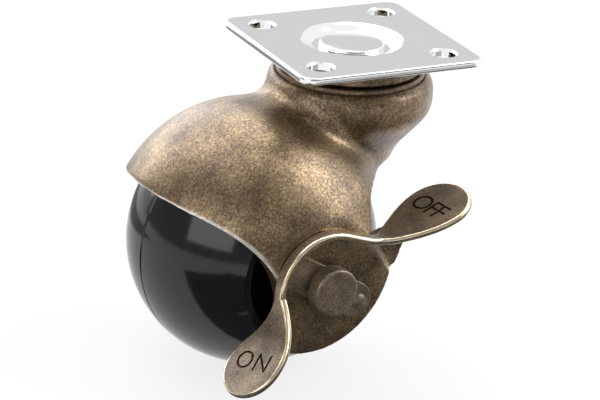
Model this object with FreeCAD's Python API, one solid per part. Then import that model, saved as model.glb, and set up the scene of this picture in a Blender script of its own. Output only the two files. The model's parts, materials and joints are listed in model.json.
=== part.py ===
import FreeCAD, Part
import math
import os

# Hooded ball castor with a foot brake, in millimetres.
# Origin: centre of the plate's top face, which is the face that meets the furniture. +Z is up.
# The swivelling pieces are drawn in the hood's own frame and then turned on the swivel as a set.
# In that frame +X points away from the ball, -Y points to the brake side and +Z is up.

V = FreeCAD.Vector

# Top plate
PLATE_SIDE = 40.0
PLATE_THICK = 1.6
PLATE_CORNER_R = 3.0
PLATE_EDGE_R = 0.5
BOLT_PITCH = 27.3
BOLT_HOLE_R = 2.5
BOLT_HOLE_BEVEL = 0.4
DISH_R = 10.0
DISH_FLOOR_R = 7.8
DISH_DEPTH = 1.7

# Swivel bearing
KINGPIN_R = 4.0
KINGPIN_HEAD_R = 6.6
KINGPIN_HEAD_SINK = 0.2
KINGPIN_HEAD_ROUND = 0.5
KINGPIN_WASHER_R = 6.4
KINGPIN_WASHER_THICK = 1.2
KINGPIN_PEEN_R = 5.2
KINGPIN_PEEN_H = 1.4
UPPER_RACE_R = 14.6
UPPER_RACE_THICK = 2.1
LOWER_RACE_R = 15.2
LOWER_RACE_BORE_R = 6.4
LOWER_RACE_THICK = 2.0
LOWER_RACE_SINK = 0.4
RACE_EDGE_R = 0.45
RACE_GAP = 1.2
RACE_PITCH_R = 9.8
RACE_BALL_R = 1.6
RACE_BALL_COUNT = 16
BUSH_WALL = 1.4
BUSH_FLANGE_R = 6.6
BUSH_FLANGE_THICK = 1.0

# Hood
HOOD_TURN_DEG = 7.5
DOME_DROP = 10.2
NECK_OVERLAP = 7.2
HOOD_WALL = 2.6
FLANGE_R = 16.6
FLANGE_DEPTH = 7.2
FLANGE_BAND = 5.0
FLANGE_ROUND = 0.8
NECK_R = 8.6
NECK_FLARE_R = 10.6
NECK_FLARE_H = 6.3
NECK_TAPER_H = 5.3
NECK_WEB = 6.6
NECK_POCKET_R = 7.0
NECK_BLEND_R = 2.0
LEG_GAP = 1.2
LEG_THICK = 4.2
RIM_TIP = (-25.0, 14.6)
RIM_MID = (-16.0, 7.8)
RIM_END = (-9.0, -1.8)
LEG_FRONT = -9.2
LEG_BACK = 11.9
BACK_RISE = 15.2
BACK_ARCH_RUN = 7.7
BACK_ARCH = (1.7, 2.0)
BACK_ARCH_LOW = 0.6
PAD_BOTTOM = (7.3, -12.4)
PAD_FRONT_LOW = (-7.4, -13.6)
PAD_BACK_CORNER = (16.4, -0.4)
PAD_CREASE_TOP = (11.7, 7.0)
PAD_FRONT_CUT = 2.5
PAD_BEVEL = 0.6
STOP_LENGTH = 8.1
STOP_ROOT = 0.4
STOP_LOW = 0.3
STOP_LOW_SLOPE = 1.0
STOP_LOW_CUT = 2.2
STOP_NOSE = 0.5
STOP_NOSE_H = 3.0
STOP_DIP = 0.4
STOP_SINK = 1.0

# Ball and axle
BALL_R = 25.4
BALL_CUT = 4.6
BALL_WALL = 3.0
BALL_CLEAR = 1.2
SEAM_OFFSET = 1.0
SEAM_BEVEL = 0.3
SPIGOT_WALL = 1.4
SPIGOT_LENGTH = 3.0
HUB_R = 7.0
HUB_SHORT = 3.2
HUB_SOCKET_WALL = 1.5
HUB_SOCKET_LENGTH = 4.5
AXLE_R = 3.0
AXLE_HEAD_R = 4.85
AXLE_HEAD_H = 3.1
AXLE_HEAD_ROUND = 0.6
AXLE_CAP_R = 5.6
AXLE_CAP_H = 2.6
AXLE_CAP_RIM = 0.7
AXLE_CAP_WALL = 0.8
AXLE_BUSH_WALL = 1.5
AXLE_BUSH_LENGTH = 8.0
AXLE_BUSH_FLANGE_R = 6.4
AXLE_BUSH_FLANGE_THICK = 0.6
SIDE_WASHER_R = 6.2
RUN = 0.05
SEAT = 0.02

# Brake
LEVER_THICK = 1.4
LEVER_LIFT = 0.1
ARCH_R = 11.5
ARCH_START_DEG = 70.0
TAB_DEG = -31.0
TAB_WIDTH = 7.2
TAB_REACH = 11.8
ON_BEND_R = 13.0
ON_BEND_DEG = 46.0
ON_RUN = 11.1
ON_HALF_WIDTH = 7.0
ON_LEAN = 2.4
ON_SWELL = (1.8, 0.2)
OFF_ROOT_RUN = 5.0
OFF_BEND_R = 12.0
OFF_BEND_DEG = 32.0
OFF_RUN = 19.0
OFF_SWEEP_R = 70.0
OFF_HALF_WIDTH = 7.5
OFF_LEAN = -1.5
OFF_SWELL = (1.5, 1.5)
ARM_HALF_WIDTH = 1.4
ON_BELLY = 13.5
OFF_LEAF_START = 6.8
OFF_BELLY = 22.0
LEVER_WASHER_R = 4.6
LEVER_WASHER_THICK = 0.6
LEVER_THROW_DEG = 15.0
BUMP_R = 1.05
BUMP_H = 0.5
BOSS_R = 1.7
BOSS_H = 0.6
PLUNGER_AT_R = 9.2
PLUNGER_HEAD_R = 2.0
PLUNGER_DOME_R = 2.5
PLUNGER_HEAD_H = 1.6
PLUNGER_STEM_R = 1.1
PLUNGER_SHY = 0.2
POCKET_WALL = 1.4
SPRING_THICK = 0.3
SPRING_H = 0.55
SHOE_R = 2.4
SHOE_THICK = 0.65
BRAKE_RING_R = 13.2
BRAKE_RING_THICK = 0.75

HOOD_R = BALL_R + BALL_CLEAR + HOOD_WALL
TRAIL = HOOD_R - NECK_OVERLAP
AXLE_DROP = DOME_DROP + HOOD_R
AXLE = V(-TRAIL, 0, -AXLE_DROP)
BALL_FLAT = BALL_R - BALL_CUT
LEG_IN = BALL_FLAT + LEG_GAP
PAD_OUT = LEG_IN + LEG_THICK
POCKET_FLOOR = LEG_IN + POCKET_WALL
CAVITY_R = BALL_R + BALL_CLEAR
DISH_UNDER_Z = -DISH_DEPTH - PLATE_THICK
UPPER_RACE_LOW_Z = DISH_UNDER_Z - UPPER_RACE_THICK
RACE_MID_Z = UPPER_RACE_LOW_Z - RACE_GAP / 2
LOWER_RACE_TOP_Z = UPPER_RACE_LOW_Z - RACE_GAP
LOWER_RACE_LOW_Z = LOWER_RACE_TOP_Z - LOWER_RACE_THICK
FLANGE_TOP_Z = LOWER_RACE_LOW_Z + LOWER_RACE_SINK
FLANGE_LOW_Z = FLANGE_TOP_Z - FLANGE_DEPTH
FLARE_Z = FLANGE_LOW_Z - NECK_FLARE_H
WAIST_Z = FLARE_Z - NECK_TAPER_H
WEB_LOW_Z = LOWER_RACE_LOW_Z - NECK_WEB
WASHER_TOP_Z = WEB_LOW_Z - BUSH_FLANGE_THICK - RUN
WASHER_LOW_Z = WASHER_TOP_Z - KINGPIN_WASHER_THICK
BUSH_R = KINGPIN_R + RUN + BUSH_WALL
TAB_IN = PAD_OUT + LEVER_LIFT
TAB_OUT = TAB_IN + LEVER_THICK
ARM_REACH = TAB_IN + ARM_HALF_WIDTH
ARCH_MID_R = ARCH_R - LEVER_THICK / 2
HEAD_IN = TAB_OUT + RUN + LEVER_WASHER_THICK + RUN
HUB_BORE_R = AXLE_R + RUN + AXLE_BUSH_WALL
HUGE = 4 * HOOD_R
UP = V(0, 0, 1)
BRAKE_SIDE = V(0, -1, 0)


def outline_face(points):
    """Flat face from corner points; a tuple (through, to) makes an arc to its second point."""
    edges = []
    here = points[0]
    for step in list(points[1:]) + [points[0]]:
        if isinstance(step, tuple):
            edges.append(Part.Arc(here, step[0], step[1]).toShape())
            here = step[1]
        else:
            if here.distanceToPoint(step) > 1e-7:
                edges.append(Part.LineSegment(here, step).toShape())
            here = step
    return Part.Face(Part.Wire(edges))


def upright(points):
    """Solid of revolution about the swivel axis from (radius, z) pairs."""
    return outline_face([V(r, 0, z) for r, z in points]).revolve(V(0, 0, 0), UP, 360)


def across(points):
    """Solid of revolution about the axle from (reach to the brake side, radius) pairs."""
    outline = []
    for step in points:
        if isinstance(step[0], tuple):
            outline.append(tuple(AXLE + BRAKE_SIDE * reach - UP * r for reach, r in step))
        else:
            outline.append(AXLE + BRAKE_SIDE * step[0] - UP * step[1])
    return outline_face(outline).revolve(AXLE, BRAKE_SIDE, 360)


def ball_rise(radius, reach):
    """Distance from the axle to a sphere's surface at a reach along the axle."""
    return math.sqrt(radius * radius - reach * reach)


def side_point(back, up, reach=0.0):
    """Point given from the axle: backward, upward and toward the brake side."""
    return AXLE + V(back, -reach, up)


def drum(radius, reach_from, reach_to, back=0.0, up=0.0):
    """Cylinder along the axle's direction between two reaches."""
    start = side_point(back, up, reach_from)
    return Part.makeCylinder(radius, reach_to - reach_from, start, BRAKE_SIDE)


def slab(points, reach_from, reach_to):
    """Side outline, given from the axle, extruded toward the brake side."""
    outline = []
    for step in points:
        if isinstance(step[0], tuple):
            outline.append(tuple(side_point(*p, reach=reach_from) for p in step))
        else:
            outline.append(side_point(*step, reach=reach_from))
    return outline_face(outline).extrude(BRAKE_SIDE * (reach_to - reach_from))


def on_swivel(shape):
    """The shape turned with the hood to its resting place on the swivel."""
    shape.rotate(V(0, 0, 0), UP, HOOD_TURN_DEG)
    return shape


def at_polar(radius, degrees):
    """Backward and upward offsets of a point at an angle round the axle."""
    angle = math.radians(degrees)
    return radius * math.cos(angle), radius * math.sin(angle)


def edges_where(shape, test):
    """Edges of the shape whose middle point passes the test."""
    found = []
    for edge in shape.Edges:
        middle = edge.valueAt((edge.FirstParameter + edge.LastParameter) / 2)
        if test(middle):
            found.append(edge)
    return found


def top_plate():
    """Pressed square plate with four screw holes and a dish for the kingpin's head."""
    half = PLATE_SIDE / 2
    plate = Part.makeBox(PLATE_SIDE, PLATE_SIDE, PLATE_THICK, V(-half, -half, -PLATE_THICK))
    corners = edges_where(plate, lambda m: abs(abs(m.x) - half) < 1e-6 and abs(abs(m.y) - half) < 1e-6)
    plate = plate.makeFillet(PLATE_CORNER_R, corners)
    rims = edges_where(plate, lambda m: abs(m.z) < 1e-6 or abs(m.z + PLATE_THICK) < 1e-6)
    plate = plate.makeFillet(PLATE_EDGE_R, rims)
    slope = math.atan2(DISH_DEPTH, DISH_R - DISH_FLOOR_R)
    step = PLATE_THICK * math.tan(slope / 2)
    bore = KINGPIN_R + SEAT
    land = DISH_R + 2 * PLATE_THICK
    plate = plate.cut(Part.makeCylinder(land, 3 * PLATE_THICK, V(0, 0, -2 * PLATE_THICK)))
    dish = upright([
        (bore, -DISH_DEPTH), (DISH_FLOOR_R, -DISH_DEPTH), (DISH_R, 0), (land, 0),
        (land, -PLATE_THICK), (DISH_R + step, -PLATE_THICK), (DISH_FLOOR_R + step, DISH_UNDER_Z),
        (bore, DISH_UNDER_Z)])
    soft = edges_where(dish, lambda m: math.hypot(m.x, m.y) < land - 0.1 and m.z > DISH_UNDER_Z + 0.1
                       and math.hypot(m.x, m.y) > bore + 0.1)
    dish = dish.makeFillet(PLATE_EDGE_R, soft)
    plate = plate.fuse(dish).removeSplitter()
    reach = BOLT_PITCH / 2
    bevel_r = BOLT_HOLE_R + BOLT_HOLE_BEVEL
    for x in (-reach, reach):
        for y in (-reach, reach):
            plate = plate.cut(Part.makeCylinder(BOLT_HOLE_R, 3 * PLATE_THICK, V(x, y, -2 * PLATE_THICK)))
            plate = plate.cut(Part.makeCone(BOLT_HOLE_R, bevel_r, BOLT_HOLE_BEVEL, V(x, y, -BOLT_HOLE_BEVEL)))
    return plate


def kingpin():
    """Rivet of the swivel: flat head in the plate's dish, shank, and a peened lower end."""
    low = WASHER_LOW_Z - KINGPIN_PEEN_H
    pin = upright([
        (0, -KINGPIN_HEAD_SINK), (KINGPIN_HEAD_R, -KINGPIN_HEAD_SINK), (KINGPIN_HEAD_R, -DISH_DEPTH),
        (KINGPIN_R, -DISH_DEPTH), (KINGPIN_R, WASHER_LOW_Z), (KINGPIN_PEEN_R, WASHER_LOW_Z),
        (KINGPIN_R, low), (0, low)])
    rim = edges_where(pin, lambda m: abs(m.z + KINGPIN_HEAD_SINK) < 1e-6 and math.hypot(m.x, m.y) > KINGPIN_R)
    return pin.makeFillet(KINGPIN_HEAD_ROUND, rim)


def kingpin_washer():
    """Steel washer that the peened end holds under the hood's neck."""
    return upright([
        (KINGPIN_R + SEAT, WASHER_TOP_Z), (KINGPIN_WASHER_R, WASHER_TOP_Z),
        (KINGPIN_WASHER_R, WASHER_LOW_Z), (KINGPIN_R + SEAT, WASHER_LOW_Z)])


def race_track():
    """Ring that the bearing balls run in, with its running clearance."""
    return Part.makeTorus(RACE_PITCH_R, RACE_BALL_R + RUN, V(0, 0, RACE_MID_Z), UP)


def race_ring(bore_r, outer_r, top_z, low_z):
    """Flat bearing ring with rounded outer edges and a groove for the balls."""
    ring = upright([(bore_r, top_z), (outer_r, top_z), (outer_r, low_z), (bore_r, low_z)])
    middle_z = (top_z + low_z) / 2
    half = abs(top_z - low_z) / 2
    rims = edges_where(
        ring, lambda m: math.hypot(m.x, m.y) > outer_r - 1e-6 and abs(abs(m.z - middle_z) - half) < 1e-6)
    return ring.makeFillet(RACE_EDGE_R, rims).cut(race_track())


def upper_race():
    """Plated ring under the plate's dish."""
    return race_ring(KINGPIN_R + SEAT, UPPER_RACE_R, DISH_UNDER_Z, UPPER_RACE_LOW_Z)


def lower_race():
    """Ring let into the top of the hood's flange."""
    return race_ring(LOWER_RACE_BORE_R, LOWER_RACE_R, LOWER_RACE_TOP_Z, LOWER_RACE_LOW_Z)


def swivel_balls():
    """Bearing balls of the swivel, one solid each."""
    balls = []
    for index in range(RACE_BALL_COUNT):
        angle = 2 * math.pi * index / RACE_BALL_COUNT
        place = V(RACE_PITCH_R * math.cos(angle), RACE_PITCH_R * math.sin(angle), RACE_MID_Z)
        balls.append(Part.makeSphere(RACE_BALL_R, place))
    return Part.makeCompound(balls)


def swivel_bush():
    """Flanged bush pressed into the neck from below, in which the kingpin turns."""
    bore = KINGPIN_R + RUN
    flange_low = WEB_LOW_Z - BUSH_FLANGE_THICK
    return upright([
        (bore, LOWER_RACE_LOW_Z), (BUSH_R, LOWER_RACE_LOW_Z), (BUSH_R, WEB_LOW_Z),
        (BUSH_FLANGE_R, WEB_LOW_Z), (BUSH_FLANGE_R, flange_low), (bore, flange_low)])


def neck():
    """Flange and neck of the hood: a disc that flares in to the narrow waist.

    The disc's wall is drawn in two bands, which the blend with the dome needs.
    """
    return upright([
        (0, FLANGE_TOP_Z), (FLANGE_R, FLANGE_TOP_Z), (FLANGE_R, FLANGE_TOP_Z - FLANGE_BAND),
        (FLANGE_R, FLANGE_LOW_Z), (NECK_FLARE_R, FLARE_Z), (NECK_R, WAIST_Z), (0, WAIST_Z)])


def side_envelope():
    """Side outline of the hood: front rim, legs and the open back below the neck."""
    return slab([
        RIM_TIP, (RIM_TIP[0] - HOOD_R, RIM_TIP[1] + HOOD_R), (RIM_TIP[0] - HOOD_R, HUGE), (HUGE, HUGE),
        (HUGE, BACK_RISE), (LEG_BACK + BACK_ARCH_RUN, BACK_RISE),
        ((LEG_BACK + BACK_ARCH[0], BACK_RISE - BACK_ARCH[1]), (LEG_BACK, PAD_CREASE_TOP[1] + BACK_ARCH_LOW)),
        PAD_CREASE_TOP, PAD_BACK_CORNER,
        (PAD_BOTTOM, PAD_FRONT_LOW), (LEG_FRONT, PAD_FRONT_LOW[1] + PAD_FRONT_CUT), RIM_END,
        (RIM_MID, RIM_TIP)], -HUGE, HUGE)


def pad(reach_from, reach_to):
    """Flat lobe round the axle at the foot of a leg."""
    lobe = slab([
        PAD_FRONT_LOW, (PAD_BOTTOM, PAD_BACK_CORNER), PAD_CREASE_TOP,
        at_polar(ARCH_R, 60), at_polar(ARCH_R, 125), RIM_END,
        (LEG_FRONT, PAD_FRONT_LOW[1] + PAD_FRONT_CUT)], reach_from, reach_to)
    return lobe.makeChamfer(PAD_BEVEL, edges_where(lobe, lambda m: abs(abs(m.y) - PAD_OUT) < 1e-6))


def walk(start, heading, moves):
    """Points and headings along a bent strip.

    Each move is (length, radius); a radius of 0 is straight, above 0 bends left, below 0 bends right.
    Returns the stations at the start, the middle and the end of every move.
    """
    x, y = start
    stations = [(x, y, heading)]
    for length, radius in moves:
        for _ in range(2):
            half = length / 2
            turn = half / radius if radius else 0.0
            chord = 2 * radius * math.sin(turn / 2) if radius else half
            x += chord * math.cos(heading + turn / 2)
            y += chord * math.sin(heading + turn / 2)
            heading += turn
            stations.append((x, y, heading))
    return stations


def beside(station, offset):
    """Point beside a station, to its left when the offset is above 0."""
    x, y, heading = station
    return x - offset * math.sin(heading), y + offset * math.cos(heading)


def strip(stations, moves, half_width):
    """Bent strip of the lever's thickness along the stations, centred on the lever's arms."""
    half = LEVER_THICK / 2
    left = [beside(station, half) for station in stations]
    right = [beside(station, -half) for station in stations]
    outline = [left[0]]
    for index, (_, radius) in enumerate(moves):
        middle, end = left[2 * index + 1], left[2 * index + 2]
        outline.append((middle, end) if radius else end)
    outline.append(right[-1])
    for index in reversed(range(len(moves))):
        middle, end = right[2 * index + 1], right[2 * index]
        outline.append((middle, end) if moves[index][1] else end)
    return slab(outline, ARM_REACH - half_width, ARM_REACH + half_width)


def on_arm_walk():
    """Path of the ON arm, down from the arch and out to the front."""
    moves = [(ON_BEND_R * math.radians(ON_BEND_DEG), -ON_BEND_R), (ON_RUN, 0)]
    return walk((-ARCH_MID_R, 0), math.radians(-90), moves), moves


def off_arm_walk():
    """Path of the OFF arm, back from the arch and swept upward."""
    start = at_polar(ARCH_MID_R, ARCH_START_DEG)
    bend = OFF_BEND_R * math.radians(OFF_BEND_DEG)
    moves = [(OFF_ROOT_RUN, 0), (bend, OFF_BEND_R), (OFF_RUN, OFF_SWEEP_R)]
    return walk(start, math.radians(ARCH_START_DEG - 90), moves), moves


def leaf(start, heading, leaf_start, belly, length, half_width, lean, swell):
    """Prism with a paddle's leaf outline, square to the given heading.

    The lean shifts the leaf toward the brake side, and the swell is how fast each flank opens at its root.
    """
    along = V(math.cos(heading), 0, math.sin(heading))
    origin = side_point(*start, reach=ARM_REACH)

    def spot(distance, out):
        return origin + along * distance + BRAKE_SIDE * out

    edges = []
    for side, open_out in zip((1, -1), swell):
        flank = Part.BSplineCurve()
        widest = lean + side * half_width
        ends = [spot(leaf_start, side * ARM_HALF_WIDTH), spot(belly, widest)]
        pull = along * (belly - leaf_start)
        spread = BRAKE_SIDE * (open_out * (widest - side * ARM_HALF_WIDTH))
        flank.interpolate(Points=ends, InitialTangent=pull + spread, FinalTangent=pull)
        edges.append(flank.toShape())
        edges.append(Part.LineSegment(spot(-1, side * ARM_HALF_WIDTH), ends[0]).toShape())
    edges.append(Part.LineSegment(spot(-1, ARM_HALF_WIDTH), spot(-1, -ARM_HALF_WIDTH)).toShape())
    tip = Part.BSplineCurve()
    blunt = half_width * math.sqrt(0.5)
    far = belly + (length - belly) * math.sqrt(0.5)
    tip.interpolate(
        Points=[
            spot(belly, lean + half_width), spot(far, lean + blunt), spot(length, lean),
            spot(far, lean - blunt), spot(belly, lean - half_width)],
        InitialTangent=along * half_width, FinalTangent=along * -half_width)
    edges.append(tip.toShape())
    face = Part.Face(Part.Wire(Part.sortEdges(edges)[0]))
    square = along.cross(BRAKE_SIDE)
    face.translate(square * -HOOD_R)
    return face.extrude(square * (2 * HOOD_R))


def paddle(stations, moves, heading, leaf_start, belly, half_width, lean, swell):
    """One arm of the lever with its leaf-shaped paddle."""
    start = stations[0]
    end = stations[-1]
    length = (end[0] - start[0]) * math.cos(heading) + (end[1] - start[1]) * math.sin(heading)
    outline = leaf(start[:2], heading, leaf_start, belly, length, half_width, lean, swell)
    return strip(stations, moves, half_width + abs(lean)).common(outline)


def cap_radius(base_r, height):
    """Radius of the ball that a low round cap is part of."""
    return (base_r * base_r + height * height) / (2 * height)


def lever_bump():
    """Pressed bump on the tab's inner face that drives the plunger."""
    back, up = at_polar(PLUNGER_AT_R, TAB_DEG - LEVER_THROW_DEG)
    ball_r = cap_radius(BUMP_R, BUMP_H)
    cap = Part.makeSphere(ball_r, side_point(back, up, TAB_IN - BUMP_H + ball_r))
    return cap.common(drum(BUMP_R, TAB_IN - BUMP_H, TAB_IN + LEVER_THICK / 2, back, up))


def lever_boss():
    """Round boss on the tab's outer face, over the plunger when the brake is off."""
    back, up = at_polar(PLUNGER_AT_R, TAB_DEG)
    ball_r = cap_radius(BOSS_R, BOSS_H)
    cap = Part.makeSphere(ball_r, side_point(back, up, TAB_OUT + BOSS_H - ball_r))
    return cap.common(drum(BOSS_R, TAB_OUT - LEVER_THICK / 2, TAB_OUT + BOSS_H, back, up))


def brake_lever():
    """Stamped lever: an arch over the axle with an ON and an OFF paddle, and a tab on the axle."""
    arch = drum(ARCH_R, TAB_IN, TAB_IN + 2 * ARM_HALF_WIDTH)
    arch = arch.cut(drum(ARCH_R - LEVER_THICK, 0, HUGE))
    first = at_polar(HOOD_R, ARCH_START_DEG)
    middle = at_polar(HOOD_R, (ARCH_START_DEG + 180) / 2)
    arch = arch.common(slab([(0, 0), first, (middle, (-HOOD_R, 0))], TAB_IN, TAB_OUT + HOOD_R))
    on_stations, on_moves = on_arm_walk()
    on_arm = paddle(
        on_stations, on_moves, on_stations[-1][2], 0.0, ON_BELLY, ON_HALF_WIDTH, ON_LEAN, ON_SWELL)
    off_stations, off_moves = off_arm_walk()
    off_arm = paddle(
        off_stations, off_moves, off_stations[-2][2], OFF_LEAF_START, OFF_BELLY, OFF_HALF_WIDTH, OFF_LEAN,
        OFF_SWELL)
    half = TAB_WIDTH / 2
    end = TAB_REACH - half
    tab = slab([
        (-ARCH_MID_R, half), (end, half), ((TAB_REACH, 0), (end, -half)), (-ARCH_MID_R, -half)],
        TAB_IN, TAB_OUT)
    tab.rotate(AXLE, BRAKE_SIDE, TAB_DEG)
    tab = tab.common(drum(ARCH_MID_R, 0, HUGE).fuse(slab([
        (0, -HOOD_R), (HOOD_R, -HOOD_R), (HOOD_R, HOOD_R), (0, HOOD_R)], 0, HUGE)))
    body = arch.fuse([on_arm, off_arm, tab, lever_bump(), lever_boss()]).removeSplitter()
    return body.cut(drum(AXLE_R + RUN, 0, HUGE))


def lever_washer():
    """Washer between the lever's tab and the axle's head."""
    low = TAB_OUT + RUN
    top = low + LEVER_WASHER_THICK
    bore = AXLE_R + RUN
    return across([(low, bore), (low, LEVER_WASHER_R), (top, LEVER_WASHER_R), (top, bore)])


def on_plunger(points):
    """Solid of revolution about the plunger's axis from (reach, radius) pairs."""
    back, up = at_polar(PLUNGER_AT_R, TAB_DEG)
    shape = across(points)
    shape.translate(V(back, 0, up))
    return shape


def brake_plunger():
    """Small pin with a domed head that the lever's bump pushes inward."""
    apex = TAB_IN - PLUNGER_SHY
    edge = apex - PLUNGER_DOME_R + ball_rise(PLUNGER_DOME_R, PLUNGER_HEAD_R)
    half_r = PLUNGER_HEAD_R / 2
    half = apex - PLUNGER_DOME_R + ball_rise(PLUNGER_DOME_R, half_r)
    under = apex - PLUNGER_HEAD_H
    return on_plunger([
        (LEG_IN - RUN, 0), (LEG_IN - RUN, PLUNGER_STEM_R), (under, PLUNGER_STEM_R), (under, PLUNGER_HEAD_R),
        (edge, PLUNGER_HEAD_R), ((half, half_r), (apex, 0))])


def plunger_spring():
    """Cone spring washer that lifts the plunger off the brake ring."""
    bore = PLUNGER_STEM_R + RUN
    top = POCKET_FLOOR + SPRING_H
    return on_plunger([
        (POCKET_FLOOR, PLUNGER_HEAD_R), (POCKET_FLOOR + SPRING_THICK, PLUNGER_HEAD_R), (top, bore),
        (top - SPRING_THICK, bore)])


def brake_shoe():
    """Friction disc on the plunger's inner end."""
    back = LEG_IN - RUN
    face = back - SHOE_THICK
    return on_plunger([(face, 0), (face, SHOE_R), (back, SHOE_R), (back, 0)])


def stop_lug():
    """Cast lug behind the near leg that the lever's OFF arm comes down on."""
    stations, _ = off_arm_walk()
    gap = LEVER_THICK / 2 + LEVER_LIFT
    root_back, root_up = beside(stations[4], -gap)
    low_up = root_up - STOP_DIP
    tip_back = LEG_BACK + STOP_LENGTH
    far_back, far_up = beside(stations[5], -gap)
    slope = (far_up - root_up) / (far_back - root_back)
    tip_up = root_up + slope * (tip_back - root_back)
    return slab([
        (LEG_BACK - STOP_ROOT, low_up), (root_back, low_up), (tip_back - STOP_NOSE, tip_up - STOP_NOSE),
        (tip_back, tip_up - STOP_NOSE_H), (tip_back - STOP_LOW_CUT, STOP_LOW),
        (LEG_BACK - STOP_ROOT, STOP_LOW - STOP_LOW_SLOPE)], LEG_IN - STOP_SINK, PAD_OUT - STOP_SINK)


def dome():
    """Ball-shaped outside of the hood, flat at the two pads."""
    flat_r = ball_rise(HOOD_R, PAD_OUT)
    return across([(-PAD_OUT, 0), (-PAD_OUT, flat_r), ((0, HOOD_R), (PAD_OUT, flat_r)), (PAD_OUT, 0)])


def neck_blend_edges(body):
    """Edges where the dome runs into the flange and the neck."""
    found = []
    for edge in body.Edges:
        if edge.Length < 1e-6:
            continue
        span = edge.LastParameter - edge.FirstParameter
        points = [edge.valueAt(edge.FirstParameter + span * share) for share in (0.25, 0.5, 0.75)]
        on_dome = all(abs(p.sub(AXLE).Length - HOOD_R) < 1e-3 for p in points)
        by_neck = all(math.hypot(p.x, p.y) < FLANGE_R + 1e-3 for p in points)
        if on_dome and by_neck:
            found.append(edge)
    return found


def ball_cavity():
    """Room inside the hood for the ball, flat at the two legs."""
    flat_r = ball_rise(CAVITY_R, LEG_IN)
    return across([(-LEG_IN, 0), (-LEG_IN, flat_r), ((0, CAVITY_R), (LEG_IN, flat_r)), (LEG_IN, 0)])


def hood():
    """Die-cast hood: dome over the ball, neck under the plate and two legs for the axle."""
    body = dome().fuse(neck())
    body = body.makeFillet(NECK_BLEND_R, neck_blend_edges(body))
    rim = edges_where(body, lambda m: abs(m.z - FLANGE_TOP_Z) < 1e-6 and math.hypot(m.x, m.y) > NECK_R)
    body = body.makeFillet(FLANGE_ROUND, rim)
    body = body.fuse([pad(LEG_IN, PAD_OUT), pad(-PAD_OUT, -LEG_IN)])
    body = body.common(side_envelope())
    body = body.fuse(stop_lug())
    body = body.cut(ball_cavity())
    plunger_back, plunger_up = at_polar(PLUNGER_AT_R, TAB_DEG)
    bump_back, bump_up = at_polar(PLUNGER_AT_R, TAB_DEG - LEVER_THROW_DEG)
    track_depth = BUMP_H + LEVER_LIFT
    track_r = BUMP_R + 4 * RUN
    bores = [
        Part.makeCylinder(LOWER_RACE_R + SEAT, HUGE, V(0, 0, LOWER_RACE_LOW_Z)),
        Part.makeCylinder(BUSH_R, HUGE, V(0, 0, WEB_LOW_Z)),
        Part.makeCylinder(NECK_POCKET_R, WEB_LOW_Z - WAIST_Z, V(0, 0, WAIST_Z)),
        drum(AXLE_R + SEAT, -HUGE, HUGE),
        drum(PLUNGER_STEM_R + RUN, 0, HUGE, plunger_back, plunger_up),
        drum(PLUNGER_HEAD_R + RUN, POCKET_FLOOR, HUGE, plunger_back, plunger_up),
        drum(track_r, PAD_OUT - track_depth, HUGE, bump_back, bump_up),
        bump_track(track_r, track_depth)]
    return body.cut(bores).removeSplitter()


def bump_track(half_width, depth):
    """Groove in the pad that the bump under the lever's tab sweeps along."""
    band = drum(PLUNGER_AT_R + half_width, PAD_OUT - depth, PAD_OUT + 1)
    band = band.cut(drum(PLUNGER_AT_R - half_width, PAD_OUT - 2 * depth, PAD_OUT + 2))
    first = at_polar(HOOD_R, TAB_DEG - LEVER_THROW_DEG)
    middle = at_polar(HOOD_R, TAB_DEG - LEVER_THROW_DEG / 2)
    last = at_polar(HOOD_R, TAB_DEG)
    return band.common(slab([(0, 0), first, (middle, last)], PAD_OUT - depth, PAD_OUT + 1))


def axle_pin():
    """Axle with a round head on the brake side."""
    end = -PAD_OUT - AXLE_CAP_H + AXLE_CAP_WALL + RUN
    face = HEAD_IN + AXLE_HEAD_H
    pin = across([
        (end, 0), (end, AXLE_R), (HEAD_IN, AXLE_R), (HEAD_IN, AXLE_HEAD_R), (face, AXLE_HEAD_R), (face, 0)])
    return pin.makeFillet(AXLE_HEAD_ROUND, edges_where(pin, lambda m: abs(m.y + face) < 1e-6 and abs(
        math.hypot(m.x - AXLE.x, m.z - AXLE.z) - AXLE_HEAD_R) < 1e-6))


def axle_cap():
    """Domed push-on cap that keeps the axle's plain end."""
    grip = AXLE_R + SEAT
    top = PAD_OUT + AXLE_CAP_H
    crown = AXLE_CAP_H - AXLE_CAP_RIM
    crown_r = (AXLE_CAP_R * AXLE_CAP_R + crown * crown) / (2 * crown)
    half_r = AXLE_CAP_R / 2
    half = top - crown_r + ball_rise(crown_r, half_r)
    return across([
        (-PAD_OUT, grip), (-PAD_OUT, AXLE_CAP_R), (-PAD_OUT - AXLE_CAP_RIM, AXLE_CAP_R),
        ((-half, half_r), (-top, 0)), (-top + AXLE_CAP_WALL, 0), (-top + AXLE_CAP_WALL, grip)])


def side_washers():
    """Thin washers between the ball's bushes and the legs, one on each side."""
    inner = BALL_FLAT + AXLE_BUSH_FLANGE_THICK + RUN
    outer = LEG_IN - RUN
    bore = AXLE_R + RUN
    near = across([(inner, bore), (inner, SIDE_WASHER_R), (outer, SIDE_WASHER_R), (outer, bore)])
    far = across([(-outer, bore), (-outer, SIDE_WASHER_R), (-inner, SIDE_WASHER_R), (-inner, bore)])
    return Part.makeCompound([near, far])


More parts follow.
